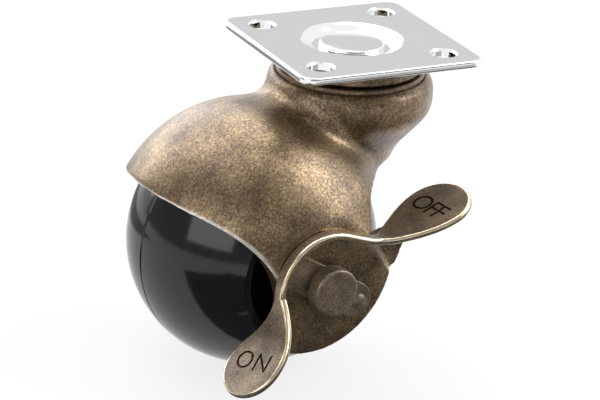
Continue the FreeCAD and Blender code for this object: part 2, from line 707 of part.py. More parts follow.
def ball_shell_near():
    """Deep moulded shell of the ball with its hub, flat on the brake side."""
    inside_r = BALL_R - BALL_WALL
    wall_in = BALL_FLAT - BALL_WALL
    seam = -SEAM_OFFSET
    mid = (BALL_FLAT + seam) / 2
    inner_mid = (wall_in + seam) / 2
    hub_end = -BALL_FLAT + HUB_SHORT
    shell = across([
        (seam, ball_rise(inside_r, seam)), (seam, ball_rise(BALL_R, seam) - SEAM_BEVEL),
        (seam + SEAM_BEVEL, ball_rise(BALL_R, seam + SEAM_BEVEL)),
        ((mid, ball_rise(BALL_R, mid)), (BALL_FLAT, ball_rise(BALL_R, BALL_FLAT))),
        (BALL_FLAT, HUB_BORE_R), (hub_end, HUB_BORE_R), (hub_end, HUB_R), (wall_in, HUB_R),
        (wall_in, ball_rise(inside_r, wall_in)),
        ((inner_mid, ball_rise(inside_r, inner_mid)), (seam, ball_rise(inside_r, seam)))])
    return shell.cut(brake_ring())


def ball_shell_far():
    """Shallow moulded shell that closes the ball and grips the end of the hub."""
    inside_r = BALL_R - BALL_WALL
    wall_in = -BALL_FLAT + BALL_WALL
    seam = -SEAM_OFFSET
    mid = (seam - BALL_FLAT) / 2
    inner_mid = (seam + wall_in) / 2
    spigot_r = ball_rise(inside_r, seam) - 2 * RUN
    hub_end = -BALL_FLAT + HUB_SHORT
    shell = across([
        (-BALL_FLAT, HUB_BORE_R), (-BALL_FLAT, ball_rise(BALL_R, BALL_FLAT)),
        ((mid, ball_rise(BALL_R, mid)), (seam - SEAM_BEVEL, ball_rise(BALL_R, seam - SEAM_BEVEL))),
        (seam, ball_rise(BALL_R, seam) - SEAM_BEVEL), (seam, ball_rise(inside_r, seam)),
        ((inner_mid, ball_rise(inside_r, inner_mid)), (wall_in, ball_rise(inside_r, wall_in))),
        (wall_in, HUB_BORE_R)])
    spigot = across([
        (seam - SPIGOT_LENGTH, spigot_r - SPIGOT_WALL), (seam - SPIGOT_LENGTH, spigot_r),
        (seam + SPIGOT_LENGTH, spigot_r), (seam + SPIGOT_LENGTH, spigot_r - SPIGOT_WALL)])
    socket_r = HUB_R + SEAT + HUB_SOCKET_WALL
    socket = across([
        (wall_in, HUB_R + SEAT), (wall_in, socket_r), (wall_in + HUB_SOCKET_LENGTH, socket_r),
        (wall_in + HUB_SOCKET_LENGTH, HUB_R + SEAT)])
    shell = shell.fuse([spigot, socket]).removeSplitter()
    return shell.cut(drum(HUB_R + SEAT, hub_end - SEAT, 0))


def axle_bush(side):
    """Flanged bush at one end of the hub; side is 1 on the brake side and -1 on the other."""
    bore = AXLE_R + RUN
    face = side * BALL_FLAT
    inner = side * (BALL_FLAT - AXLE_BUSH_LENGTH)
    outer = side * (BALL_FLAT + AXLE_BUSH_FLANGE_THICK)
    return across([
        (inner, bore), (inner, HUB_BORE_R), (face, HUB_BORE_R), (face, AXLE_BUSH_FLANGE_R),
        (outer, AXLE_BUSH_FLANGE_R), (outer, bore)])


def brake_ring():
    """Steel ring let into the ball's flat side, which the brake shoe presses on."""
    face = BALL_FLAT
    back = face - BRAKE_RING_THICK
    inner_r = AXLE_BUSH_FLANGE_R + 2 * RUN
    return across([(back, inner_r), (back, BRAKE_RING_R), (face, BRAKE_RING_R), (face, inner_r)])


# Name of each piece, what makes it, and whether it turns with the hood
PIECES = [
    ("top_plate", top_plate(), False),
    ("kingpin", kingpin(), False),
    ("kingpin_washer", kingpin_washer(), False),
    ("upper_race", upper_race(), False),
    ("swivel_balls", swivel_balls(), False),
    ("lower_race", lower_race(), True),
    ("swivel_bush", swivel_bush(), True),
    ("hood", hood(), True),
    ("axle_pin", axle_pin(), True),
    ("axle_cap", axle_cap(), True),
    ("side_washers", side_washers(), True),
    ("ball_shell_near", ball_shell_near(), True),
    ("ball_shell_far", ball_shell_far(), True),
    ("axle_bush_near", axle_bush(1), True),
    ("axle_bush_far", axle_bush(-1), True),
    ("brake_ring", brake_ring(), True),
    ("brake_lever", brake_lever(), True),
    ("lever_washer", lever_washer(), True),
    ("brake_plunger", brake_plunger(), True),
    ("plunger_spring", plunger_spring(), True),
    ("brake_shoe", brake_shoe(), True)]

os.makedirs("parts", exist_ok=True)
for name, shape, turns in PIECES:
    if turns:
        shape = on_swivel(shape)
    shape.exportStep("parts/" + name + ".step")
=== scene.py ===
"""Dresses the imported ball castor: cast hood, stamped brake lever, finishes, light and camera.

Sizes are in millimetres in the hood's own frame where a comment does not say otherwise: back is away
from the ball, reach is toward the brake side and up is up, all counted from the axle.
"""
from __future__ import annotations

import json
import logging
import math
from dataclasses import dataclass
from enum import Enum
from typing import Sequence

import bpy
import numpy as np
from mathutils import Matrix, Vector

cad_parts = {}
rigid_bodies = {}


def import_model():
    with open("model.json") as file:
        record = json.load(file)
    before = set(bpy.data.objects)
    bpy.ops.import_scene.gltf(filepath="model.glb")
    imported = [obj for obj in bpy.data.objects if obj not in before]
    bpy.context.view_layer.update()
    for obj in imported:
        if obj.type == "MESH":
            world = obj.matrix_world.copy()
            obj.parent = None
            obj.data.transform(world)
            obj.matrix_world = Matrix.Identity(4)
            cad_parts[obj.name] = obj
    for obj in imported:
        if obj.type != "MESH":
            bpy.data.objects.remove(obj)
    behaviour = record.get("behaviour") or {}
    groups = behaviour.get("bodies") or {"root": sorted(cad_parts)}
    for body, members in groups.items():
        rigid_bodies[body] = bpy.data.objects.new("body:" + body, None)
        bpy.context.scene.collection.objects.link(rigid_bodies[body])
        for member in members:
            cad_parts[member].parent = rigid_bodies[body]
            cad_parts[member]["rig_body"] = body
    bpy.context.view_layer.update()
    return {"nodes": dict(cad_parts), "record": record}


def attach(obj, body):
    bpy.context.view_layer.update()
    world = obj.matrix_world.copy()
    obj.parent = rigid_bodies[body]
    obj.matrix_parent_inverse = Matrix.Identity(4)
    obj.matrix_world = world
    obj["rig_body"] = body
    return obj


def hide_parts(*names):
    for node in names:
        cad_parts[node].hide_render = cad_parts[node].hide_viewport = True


LOG = logging.getLogger("castor")
MM = 0.001
Point = tuple[float, float]


class Cut(Enum):
    """Ways in which one solid is worked with another."""

    ADD = "UNION"
    TAKE = "DIFFERENCE"
    KEEP = "INTERSECT"


class Solver(Enum):
    """Boolean solvers: one for dense closed meshes, one for clean plates."""

    DENSE = "MANIFOLD"
    CLEAN = "EXACT"


def deselect() -> None:
    """Leaves edit mode and clears the selection."""
    if bpy.context.object and bpy.context.object.mode != "OBJECT":
        bpy.ops.object.mode_set(mode="OBJECT")
    bpy.ops.object.select_all(action="DESELECT")


def focus(obj: bpy.types.Object) -> None:
    """Makes the object the only selected one, and active."""
    deselect()
    obj.select_set(True)
    bpy.context.view_layer.objects.active = obj


def edit_all(obj: bpy.types.Object) -> None:
    """Opens the object in edit mode with everything selected."""
    focus(obj)
    bpy.ops.object.mode_set(mode="EDIT")
    bpy.ops.mesh.select_all(action="SELECT")


def trace(name: str, points: Sequence[Vector]) -> bpy.types.Object:
    """Draws an open line of edges, one extruded point after another.

    Args:
        name: name of the new object.
        points: corners of the line, in millimetres.

    Returns:
        The object, in edit mode with its last point selected.
    """
    deselect()
    bpy.ops.mesh.primitive_plane_add(size=MM)
    obj = bpy.context.object
    obj.name = name
    bpy.ops.object.mode_set(mode="EDIT")
    bpy.ops.mesh.select_mode(type="VERT")
    bpy.ops.mesh.select_all(action="SELECT")
    bpy.ops.mesh.merge(type="CENTER")
    bpy.ops.transform.translate(value=points[0] * MM)
    for here, there in zip(points, points[1:]):
        bpy.ops.mesh.extrude_region_move(TRANSFORM_OT_translate={"value": (there - here) * MM})
    return obj


def turned(name: str, profile: Sequence[Point], steps: int = 128) -> bpy.types.Object:
    """Turns a profile round the Z axis.

    Args:
        name: name of the new object.
        profile: (radius, height) pairs in millimetres, in order along the section.
        steps: segments of the full turn.

    Returns:
        The closed turned object, in object mode.
    """
    obj = trace(name, [Vector((r, 0.0, z)) for r, z in profile])
    bpy.ops.mesh.select_all(action="SELECT")
    bpy.ops.mesh.spin(steps=steps, angle=math.tau, center=(0, 0, 0), axis=(0, 0, 1))
    bpy.ops.mesh.select_all(action="SELECT")
    bpy.ops.mesh.remove_doubles(threshold=1e-6)
    bpy.ops.mesh.normals_make_consistent(inside=False)
    bpy.ops.object.mode_set(mode="OBJECT")
    return obj


def rod(name: str, radius: float, low: float, high: float, steps: int) -> bpy.types.Object:
    """Plain rod along Z between two heights, which cuts a bore."""
    return turned(name, [(0.0, low), (radius, low), (radius, high), (0.0, high)], steps)


def prism(name: str, outline: Sequence[Vector], depth: Vector) -> bpy.types.Object:
    """Extrudes a flat closed outline into a plate.

    Args:
        name: name of the new object.
        outline: corners in order, in millimetres, without repeating the first.
        depth: extrusion, in millimetres.

    Returns:
        The closed plate, in object mode.
    """
    obj = trace(name, outline)
    bpy.ops.mesh.select_all(action="SELECT")
    bpy.ops.mesh.edge_face_add()
    bpy.ops.mesh.extrude_region_move(TRANSFORM_OT_translate={"value": depth * MM})
    bpy.ops.mesh.select_all(action="SELECT")
    bpy.ops.mesh.remove_doubles(threshold=1e-7)
    bpy.ops.mesh.normals_make_consistent(inside=False)
    bpy.ops.object.mode_set(mode="OBJECT")
    return obj


def round_rims(obj: bpy.types.Object, heights: Sequence[float], width: float, finish: int) -> None:
    """Rounds the edges that lie flat at some heights.

    Args:
        obj: plate to work on.
        heights: heights of the edges, in millimetres.
        width: width of the rounding, in millimetres.
        finish: number of the finish that covers the rounding.
    """
    focus(obj)
    bpy.ops.object.mode_set(mode="EDIT")
    bpy.ops.mesh.select_mode(type="EDGE")
    bpy.ops.mesh.select_all(action="DESELECT")
    bpy.ops.object.mode_set(mode="OBJECT")
    for edge in obj.data.edges:
        ends = [obj.data.vertices[k].co.z / MM for k in edge.vertices]
        edge.select = any(all(abs(z - height) < 1e-4 for z in ends) for height in heights)
    bpy.ops.object.mode_set(mode="EDIT")
    bpy.ops.mesh.bevel(offset=width * MM, segments=4, affect="EDGES", material=finish, clamp_overlap=True)
    bpy.ops.object.mode_set(mode="OBJECT")


def carve(target: bpy.types.Object, tool: bpy.types.Object, cut: Cut, solver: Solver) -> None:
    """Works the target with a tool solid, which is used up.

    Args:
        target: solid that stays.
        tool: solid that adds, takes or keeps, and is removed.
        cut: what the tool does.
        solver: solver that suits the two meshes.
    """
    change = target.modifiers.new("carve", "BOOLEAN")
    change.operation = cut.value
    change.solver = solver.value
    change.object = tool
    focus(target)
    bpy.ops.object.modifier_apply(modifier=change.name)
    bpy.data.objects.remove(tool, do_unlink=True)


def apply_modifier(obj: bpy.types.Object, kind: str, **settings: object) -> None:
    """Adds a modifier with its settings and applies it."""
    change = obj.modifiers.new(kind.lower(), kind)
    for name, value in settings.items():
        setattr(change, name, value)
    focus(obj)
    bpy.ops.object.modifier_apply(modifier=change.name)


def smooth(obj: bpy.types.Object, degrees: float = 30.0) -> None:
    """Shades smooth below an angle, with flat faces kept flat."""
    focus(obj)
    bpy.ops.object.shade_smooth_by_angle(angle=math.radians(degrees))
    apply_modifier(obj, "WEIGHTED_NORMAL", keep_sharp=True, weight=80)


def settle(obj: bpy.types.Object, place: Matrix) -> None:
    """Moves a mesh to its place, with its object left at the origin."""
    focus(obj)
    obj.matrix_world = place @ obj.matrix_world
    bpy.ops.object.transform_apply(location=True, rotation=True, scale=True)


def coat(obj: bpy.types.Object, *finishes: bpy.types.Material) -> None:
    """Gives an object these finishes and no others."""
    obj.data.materials.clear()
    for finish in finishes:
        obj.data.materials.append(finish)


def arc(start: Point, through: Point, end: Point, steps: int) -> list[Point]:
    """Points along the circle through three points, without the first."""
    (ax, ay), (bx, by), (cx, cy) = start, through, end
    d = 2 * (ax * (by - cy) + bx * (cy - ay) + cx * (ay - by))
    a2, b2, c2 = ax * ax + ay * ay, bx * bx + by * by, cx * cx + cy * cy
    ux = (a2 * (by - cy) + b2 * (cy - ay) + c2 * (ay - by)) / d
    uy = (a2 * (cx - bx) + b2 * (ax - cx) + c2 * (bx - ax)) / d
    radius = math.hypot(ax - ux, ay - uy)
    first = math.atan2(ay - uy, ax - ux)
    middle = (math.atan2(by - uy, bx - ux) - first) % math.tau
    last = (math.atan2(cy - uy, cx - ux) - first) % math.tau
    if middle > last:
        last -= math.tau
    turns = [first + last * k / steps for k in range(1, steps + 1)]
    return [(ux + radius * math.cos(t), uy + radius * math.sin(t)) for t in turns]


def quarter(centre: Point, radius: float, from_deg: float, steps: int) -> list[Point]:
    """Points of a quarter turn round a centre, clockwise from a direction, with both ends."""
    turns = [math.radians(from_deg) - math.pi / 2 * k / steps for k in range(steps + 1)]
    return [(centre[0] + radius * math.cos(t), centre[1] + radius * math.sin(t)) for t in turns]


def flowing(points: Sequence[Point], steps: int) -> list[Point]:
    """Points of a smooth curve that passes through the given ones."""
    ends = [points[0], *points, points[-1]]
    line: list[Point] = [points[0]]
    for p0, p1, p2, p3 in zip(ends, ends[1:], ends[2:], ends[3:]):
        for k in range(1, steps + 1):
            t = k / steps
            line.append(tuple(
                0.5 * (2 * b + (c - a) * t + (2 * a - 5 * b + 4 * c - d) * t * t
                       + (3 * b - a - 3 * c + d) * t ** 3)
                for a, b, c, d in zip(p0, p1, p2, p3)))
    return line


def linear(hex_colour: str) -> tuple[float, float, float, float]:
    """sRGB hex value as a linear colour."""
    values = [int(hex_colour[k:k + 2], 16) / 255 for k in (1, 3, 5)]
    red, green, blue = [v / 12.92 if v <= 0.04045 else ((v + 0.055) / 1.055) ** 2.4 for v in values]
    return red, green, blue, 1.0


def add_node(
        tree: bpy.types.NodeTree, kind: str, settings: dict[str | int, object] | None = None,
        links: dict[str | int, bpy.types.NodeSocket] | None = None) -> bpy.types.Node:
    """Adds one node.

    Args:
        tree: node tree that takes it.
        kind: node type.
        settings: values by property, or by input name or number; stops sets a colour ramp.
        links: source sockets by input name or number.

    Returns:
        The new node.
    """
    node = tree.nodes.new(kind)
    for name, value in (settings or {}).items():
        if name == "stops":
            ramp = node.color_ramp.elements
            while len(ramp) < len(value):
                ramp.new(0.5)
            for element, (position, colour) in zip(ramp, value):
                element.position = position
                element.color = colour
        elif isinstance(name, int) or name in node.inputs:
            node.inputs[name].default_value = value
        else:
            setattr(node, name, value)
    for name, source in (links or {}).items():
        tree.links.new(source, node.inputs[name])
    return node


def blank_material(name: str) -> tuple[bpy.types.Material, bpy.types.NodeTree]:
    """New material with an empty node tree."""
    material = bpy.data.materials.new(name)
    material.use_nodes = True
    material.node_tree.nodes.clear()
    return material, material.node_tree


def seen_directly(tree: bpy.types.NodeTree) -> bpy.types.NodeSocket:
    """Socket that is 1 for rays from the camera, also by reflection or through glass."""
    rays = add_node(tree, "ShaderNodeLightPath").outputs
    seen = rays["Is Camera Ray"]
    for kind in ("Is Glossy Ray", "Is Transmission Ray"):
        seen = add_node(tree, "ShaderNodeMath", {"operation": "MAXIMUM"}, {0: seen, 1: rays[kind]}).outputs[0]
    return seen


def per_mm(size: float) -> float:
    """Texture scale that gives a feature of the size, in millimetres, on metre coordinates."""
    return 1.0 / (size * MM)


def grey(value: float) -> tuple[float, float, float, float]:
    """Linear grey for a ramp that carries a number."""
    return value, value, value, 1.0


@dataclass(frozen=True)
class AntiqueBronze:
    """Antique bronze plate on metal: dark oxide worn back to gold in a fine speckle, under satin lacquer.

    The eye sees short gold flecks on umber, broad cloudy patches and a soft pale gloss.
    """

    name: str = "antique_bronze_cast"
    oxide: str = "#3F3225"
    umber: str = "#6B563E"
    gold: str = "#967F5E"
    fleck: str = "#CBB38A"
    # Near-white colour for marked edges: worn plating with a painted highlight.
    edge_wear_highlight: str = "#FFFAF0"
    fleck_mm: float = 0.45
    fleck_depth_mm: float = 0.03
    cloud_mm: float = 8.0
    rough_low: float = 0.34
    rough_high: float = 0.5
    metal: float = 0.85
    edge_attribute: str = ""

    def build(self) -> bpy.types.Material:
        """Makes the material."""
        material, tree = blank_material(self.name)
        where = add_node(tree, "ShaderNodeTexCoord").outputs["Object"]
        fine = add_node(
            tree, "ShaderNodeTexNoise", {"Scale": per_mm(self.fleck_mm), "Detail": 3.0, "Roughness": 0.65},
            {"Vector": where})
        cloud = add_node(
            tree, "ShaderNodeTexNoise", {"Scale": per_mm(self.cloud_mm), "Detail": 4.0, "Roughness": 0.6},
            {"Vector": where})
        blend = add_node(tree, "ShaderNodeMixRGB", {"Fac": 0.42}, {
            "Color1": fine.outputs["Fac"], "Color2": cloud.outputs["Fac"]})
        colour = add_node(tree, "ShaderNodeValToRGB", {"stops": [
            (0.36, linear(self.oxide)), (0.47, linear(self.umber)), (0.57, linear(self.gold)),
            (0.68, linear(self.fleck))]}, {"Fac": blend.outputs["Color"]})
        rough = add_node(tree, "ShaderNodeValToRGB", {"stops": [
            (0.35, grey(self.rough_high)), (0.65, grey(self.rough_low))]}, {"Fac": blend.outputs["Color"]})
        bump = add_node(
            tree, "ShaderNodeBump", {"Strength": 0.25, "Distance": self.fleck_depth_mm * MM},
            {"Height": fine.outputs["Fac"]})
        base = colour.outputs["Color"]
        # Edges marked by the attribute are mixed toward near white: worn plating with a painted highlight.
        if self.edge_attribute:
            edge = add_node(tree, "ShaderNodeAttribute", {"attribute_name": self.edge_attribute})
            base = add_node(tree, "ShaderNodeMixRGB", {"Color2": linear(self.edge_wear_highlight)}, {
                "Fac": edge.outputs["Fac"], "Color1": base}).outputs["Color"]
        shader = add_node(tree, "ShaderNodeBsdfPrincipled", {
            "Metallic": self.metal, "Coat Weight": 0.7, "Coat Roughness": 0.34}, {
                "Base Color": base, "Roughness": rough.outputs["Color"], "Normal": bump.outputs["Normal"]})
        add_node(tree, "ShaderNodeOutputMaterial", {}, {"Surface": shader.outputs["BSDF"]})
        return material


@dataclass(frozen=True)
class PlatedMetal:
    """Bright plated or bare polished metal, with faint cloudy wear in its gloss."""

    name: str
    tint: str
    shade: str
    rough_low: float
    rough_high: float
    cloud_mm: float = 5.0

    def build(self) -> bpy.types.Material:
        """Makes the material."""
        material, tree = blank_material(self.name)
        where = add_node(tree, "ShaderNodeTexCoord").outputs["Object"]
        cloud = add_node(
            tree, "ShaderNodeTexNoise", {"Scale": per_mm(self.cloud_mm), "Detail": 5.0, "Roughness": 0.6},
            {"Vector": where})
        colour = add_node(tree, "ShaderNodeValToRGB", {"stops": [
            (0.35, linear(self.shade)), (0.65, linear(self.tint))]}, {"Fac": cloud.outputs["Fac"]})
        rough = add_node(tree, "ShaderNodeValToRGB", {"stops": [
            (0.35, grey(self.rough_high)), (0.65, grey(self.rough_low))]}, {"Fac": cloud.outputs["Fac"]})
        shader = add_node(tree, "ShaderNodeBsdfPrincipled", {"Metallic": 1.0}, {
            "Base Color": colour.outputs["Color"], "Roughness": rough.outputs["Color"]})
        add_node(tree, "ShaderNodeOutputMaterial", {}, {"Surface": shader.outputs["BSDF"]})
        return material


@dataclass(frozen=True)
class MouldedPlastic:
    """Moulded plastic or rubber: a smooth skin with a faint orange peel and slight change of gloss."""

    name: str
    tint: str
    shade: str
    rough_low: float
    rough_high: float
    ior: float = 1.5
    peel_mm: float = 1.6
    peel_depth_mm: float = 0.004

    def build(self) -> bpy.types.Material:
        """Makes the material."""
        material, tree = blank_material(self.name)
        where = add_node(tree, "ShaderNodeTexCoord").outputs["Object"]
        peel = add_node(
            tree, "ShaderNodeTexNoise", {"Scale": per_mm(self.peel_mm), "Detail": 2.0}, {"Vector": where})
        colour = add_node(tree, "ShaderNodeValToRGB", {"stops": [
            (0.35, linear(self.shade)), (0.65, linear(self.tint))]}, {"Fac": peel.outputs["Fac"]})
        rough = add_node(tree, "ShaderNodeValToRGB", {"stops": [
            (0.35, grey(self.rough_low)), (0.65, grey(self.rough_high))]}, {"Fac": peel.outputs["Fac"]})
        bump = add_node(
            tree, "ShaderNodeBump", {"Strength": 0.3, "Distance": self.peel_depth_mm * MM},
            {"Height": peel.outputs["Fac"]})
        shader = add_node(tree, "ShaderNodeBsdfPrincipled", {"IOR": self.ior}, {
            "Base Color": colour.outputs["Color"], "Roughness": rough.outputs["Color"],
            "Normal": bump.outputs["Normal"]})
        add_node(tree, "ShaderNodeOutputMaterial", {}, {"Surface": shader.outputs["BSDF"]})
        return material


@dataclass(frozen=True)
class HoodPlace:
    """Where the hood stands on the swivel."""

    trail: float = 22.0
    drop: float = 39.4
    turn_deg: float = 7.5

    def axle(self) -> Vector:
        """Axle point in the hood's frame, in millimetres from the plate."""
        return Vector((-self.trail, 0.0, -self.drop))

    def spot(self, back: float, reach: float, up: float) -> Vector:
        """Point in the hood's frame from distances at the axle, in millimetres."""
        return self.axle() + Vector((back, -reach, up))

    def turn(self) -> Matrix:
        """Turn from the hood's frame to the row frame."""
        return Matrix.Rotation(math.radians(self.turn_deg), 4, "Z")

    def along_axle(self) -> Matrix:
        """Puts a turned piece's Z on the axle, pointing to the brake side, in the hood's frame."""
        return Matrix.Translation(self.axle() * MM) @ Matrix.Rotation(math.radians(90), 4, "X")


@dataclass
class HoodCasting:
    """Die-cast hood: dome, neck, two legs with pads and the lever's stop."""

    place: HoodPlace
    shell_r: float = 29.2
    cavity_r: float = 26.6
    leg_in: float = 22.0
    pad_out: float = 26.2
    pad_bevel: float = 0.6
    axle_bore_r: float = 3.02
    race_r: float = 15.22
    race_low: float = -8.6
    web_low: float = -15.2
    bush_r: float = 5.45
    pocket_r: float = 7.0
    pocket_low: float = -27.0
    plunger_at: Point = (7.886, -4.738)
    plunger_r: float = 1.5
    plunger_head_r: float = 2.4
    plunger_floor: float = 23.4
    blend_near: float = 2.0
    blend_far: float = 11.0
    blend_power: float = 1.6
    blend_passes: int = 320
    edge_passes: int = 40
    pad_soft: Point = (1.5, 1.6)
    beak_soft: Point = (1.4, 1.8)
    nape_soft: Point = (1.3, 4.0)
    nape_run: float = 5.0
    nape_most: float = 0.8
    first_voxel: float = 0.5
    last_voxel: float = 0.4
    # Near-white band along the front rim's edge: worn plating with a painted highlight.
    edge_attribute: str = "edge_rub"
    wear_highlight_width: float = 0.45
    wear_highlight_depth: float = 1.0
    rim_tip: Point = (-25.0, 14.6)
    rim_mid: Point = (-14.95, 8.85)
    rim_end: Point = (-9.0, -1.8)
    leg_front: float = -9.2
    leg_back: float = 11.9
    back_rise: float = 15.2
    back_run: float = 7.7
    back_arch: Point = (13.6, 13.2)
    pad_bottom: Point = (7.3, -12.4)
    pad_front: Point = (-7.4, -13.6)
    pad_corner: Point = (16.4, -0.4)
    pad_crease: Point = (11.7, 7.0)
    pad_shoulders: tuple[Point, Point] = ((5.75, 9.96), (-6.6, 9.42))
    lug_outline: tuple[Point, ...] = (
        (11.5, 6.8), (14.6, 6.8), (19.5, 7.7), (20.0, 5.3), (17.8, 0.3), (11.5, -0.7))
    neck_line: tuple[Point, ...] = (
        (15.3, -6.4), (15.9, -6.85), (16.6, -7.7), (17.0, -8.9), (17.1, -10.6), (17.0, -12.3), (16.5, -13.9),
        (15.4, -15.5), (13.8, -17.4), (12.1, -19.4), (10.5, -21.5), (9.4, -24.0), (8.7, -27.5), (8.6, -33.0))

    def neck_profile(self) -> list[Point]:
        """Section of the flange and neck, from its top middle to its low middle."""
        line = flowing(self.neck_line, 6)
        return [(0.0, line[0][1]), *line, (0.0, line[-1][1])]

    def soften_junction(self, body: bpy.types.Object) -> None:
        """Blends the dome into the neck, by smoothing only near where they meet."""
        from_axle = self.spots_from_axle(body)
        spots = from_axle + np.array(self.place.axle())
        line = self.neck_profile()[1:-1]
        heights = np.array([z for _, z in line][::-1])
        radii = np.array([r for r, _ in line][::-1])
        off_neck = np.abs(np.hypot(spots[:, 0], spots[:, 1]) - np.interp(spots[:, 2], heights, radii))
        off_dome = np.abs(np.linalg.norm(from_axle, axis=1) - self.shell_r)
        away = np.maximum(off_neck, off_dome)
        share = np.clip((self.blend_far - away) / (self.blend_far - self.blend_near), 0.0, 1.0)
        below_top = np.clip((self.neck_line[2][1] - spots[:, 2]) / 3.0, 0.0, 1.0)
        self.soften(body, share ** self.blend_power * below_top, self.blend_passes)

    @staticmethod
    def soften(body: bpy.types.Object, share: np.ndarray, passes: int) -> None:
        """Smooths part of a mesh.

        Args:
            body: mesh to work on.
            share: strength for each vertex, from 0 to 1.
            passes: rounds of smoothing.
        """
        group = body.vertex_groups.new(name="soft")
        for index in np.nonzero(share > 0.0)[0]:
            group.add([int(index)], float(share[index]), "REPLACE")
        apply_modifier(body, "SMOOTH", factor=0.5, iterations=passes, vertex_group=group.name)
        body.vertex_groups.clear()

    @staticmethod
    def fade(away: np.ndarray, start: float, reach: float) -> np.ndarray:
        """Share that is 1 close by and falls to 0 with the distance."""
        return np.clip(start - away / reach, 0.0, 1.0)

    def soften_edges(self, body: bpy.types.Object) -> None:
        """Blends the dome into each pad's flat, and rounds the rim's beak and the open back's top corners."""
        spots = self.spots_from_axle(body)
        flat_r = math.sqrt(self.shell_r ** 2 - self.pad_out ** 2)
        away = np.hypot(np.hypot(spots[:, 0], spots[:, 2]) - flat_r, np.abs(spots[:, 1]) - self.pad_out)
        share = self.fade(away, *self.pad_soft) * np.clip((spots[:, 2] - 3.0) / 3.0, 0.0, 1.0)
        beak = np.hypot(spots[:, 0] - self.rim_tip[0], spots[:, 2] - self.rim_tip[1])
        share = np.maximum(share, self.fade(beak, *self.beak_soft))
        nape = np.hypot(spots[:, 0] - self.leg_back - self.nape_run, spots[:, 2] - self.back_rise)
        share = np.maximum(share, np.minimum(self.fade(nape, *self.nape_soft), self.nape_most))
        self.soften(body, share, self.edge_passes)

    def spots_from_axle(self, body: bpy.types.Object) -> np.ndarray:
        """Vertex places from the axle in millimetres, before the hood is turned."""
        spots = np.empty(len(body.data.vertices) * 3)
        body.data.vertices.foreach_get("co", spots)
        return spots.reshape(-1, 3) / MM - np.array(self.place.axle())

    def side(
            self, outline: Sequence[Point], reach_from: float, reach_to: float,
            name: str) -> bpy.types.Object:
        """Plate with a side outline given from the axle, between two reaches."""
        corners = [self.place.spot(back, reach_from, up) for back, up in outline]
        return prism(name, corners, Vector((0.0, reach_from - reach_to, 0.0)))

    def envelope(self) -> bpy.types.Object:
        """Plate that keeps what lies inside the hood's side outline."""
        arch_start = (self.leg_back + self.back_run, self.back_rise)
        arch_end = (self.leg_back, self.pad_crease[1] + 0.6)
        outline = [
            self.rim_tip, (-60.0, 40.0), (-60.0, 60.0), (60.0, 60.0), (60.0, self.back_rise), arch_start,
            *arc(arch_start, self.back_arch, arch_end, 24), self.pad_crease, self.pad_corner,
            *arc(self.pad_corner, self.pad_bottom, self.pad_front, 32),
            (self.leg_front, self.pad_front[1] + 2.5), self.rim_end,
            *arc(self.rim_end, self.rim_mid, self.rim_tip, 40)[:-1]]
        return self.side(outline, -60.0, 60.0, "envelope")

    def pad(self, reach_from: float, reach_to: float) -> bpy.types.Object:
        """Lobe round the axle at the foot of a leg, bevelled on its outer face."""
        outline = [
            self.pad_front, *arc(self.pad_front, self.pad_bottom, self.pad_corner, 32), self.pad_crease,
            *self.pad_shoulders, self.rim_end, (self.leg_front, self.pad_front[1] + 2.5)]
        lobe = self.side(outline, reach_from, reach_to, "pad")
        edit_all(lobe)
        bpy.ops.mesh.select_all(action="DESELECT")
        bpy.ops.object.mode_set(mode="OBJECT")
        for edge in lobe.data.edges:
            ends = [lobe.data.vertices[k].co.y for k in edge.vertices]
            edge.select = all(abs(abs(y) - self.pad_out * MM) < 1e-6 for y in ends)
        bpy.ops.object.mode_set(mode="EDIT")
        bpy.ops.mesh.bevel(offset=self.pad_bevel * MM, segments=2, affect="EDGES")
        bpy.ops.object.mode_set(mode="OBJECT")
        return lobe

    def stop_lug(self) -> bpy.types.Object:
        """Lug behind the near leg, under the OFF arm."""
        return self.side(self.lug_outline, self.leg_in - 1.0, self.pad_out - 1.0, "stop_lug")

    def bores(self) -> list[bpy.types.Object]:
        """Everything that is hollow in the casting."""
        flat_r = math.sqrt(self.cavity_r ** 2 - self.leg_in ** 2)
        inside = [(0.0, -self.leg_in), (flat_r, -self.leg_in)]
        inside += arc((flat_r, -self.leg_in), (self.cavity_r, 0.0), (flat_r, self.leg_in), 64)
        cavity = turned("cavity", [*inside, (0.0, self.leg_in)], 160)
        settle(cavity, self.place.along_axle())
        seat = turned("race_seat", [
            (0.0, 5.0), (self.race_r, 5.0), (self.race_r, self.race_low), (self.bush_r, self.race_low),
            (self.bush_r, self.web_low), (self.pocket_r, self.web_low), (self.pocket_r, self.pocket_low),
            (0.0, self.pocket_low)], 96)
        axle = rod("axle_bore", self.axle_bore_r, -40.0, 40.0, 48)
        settle(axle, self.place.along_axle())
        plunger = turned("plunger_bore", [
            (0.0, 15.0), (self.plunger_r, 15.0), (self.plunger_r, self.plunger_floor),
            (self.plunger_head_r, self.plunger_floor), (self.plunger_head_r, 40.0), (0.0, 40.0)], 40)
        settle(plunger, self.place.along_axle() @ Matrix.Translation(Vector((*self.plunger_at, 0.0)) * MM))
        return [cavity, seat, axle, plunger]

    def mark_rim(self, body: bpy.types.Object) -> None:
        """Stores how close each point lies to the front rim's edge, where the colour turns near white: worn
        plating with a painted highlight.
        """
        mesh = body.data
        spots = self.spots_from_axle(body)
        rim = np.array([self.rim_end, *arc(self.rim_end, self.rim_mid, self.rim_tip, 160)])
        value = np.zeros(len(spots))
        for index in np.nonzero(np.linalg.norm(spots, axis=1) > self.shell_r - self.wear_highlight_depth)[0]:
            away = np.min(np.hypot(rim[:, 0] - spots[index, 0], rim[:, 1] - spots[index, 2]))
            off_middle = np.clip(abs(spots[index, 1]) / 4.0, 0.0, 1.0)
            value[index] = self.fade(away, 1.5, self.wear_highlight_width) * off_middle
        attribute = mesh.attributes.new(self.edge_attribute, "FLOAT", "POINT")
        attribute.data.foreach_set("value", value.astype(np.float32))

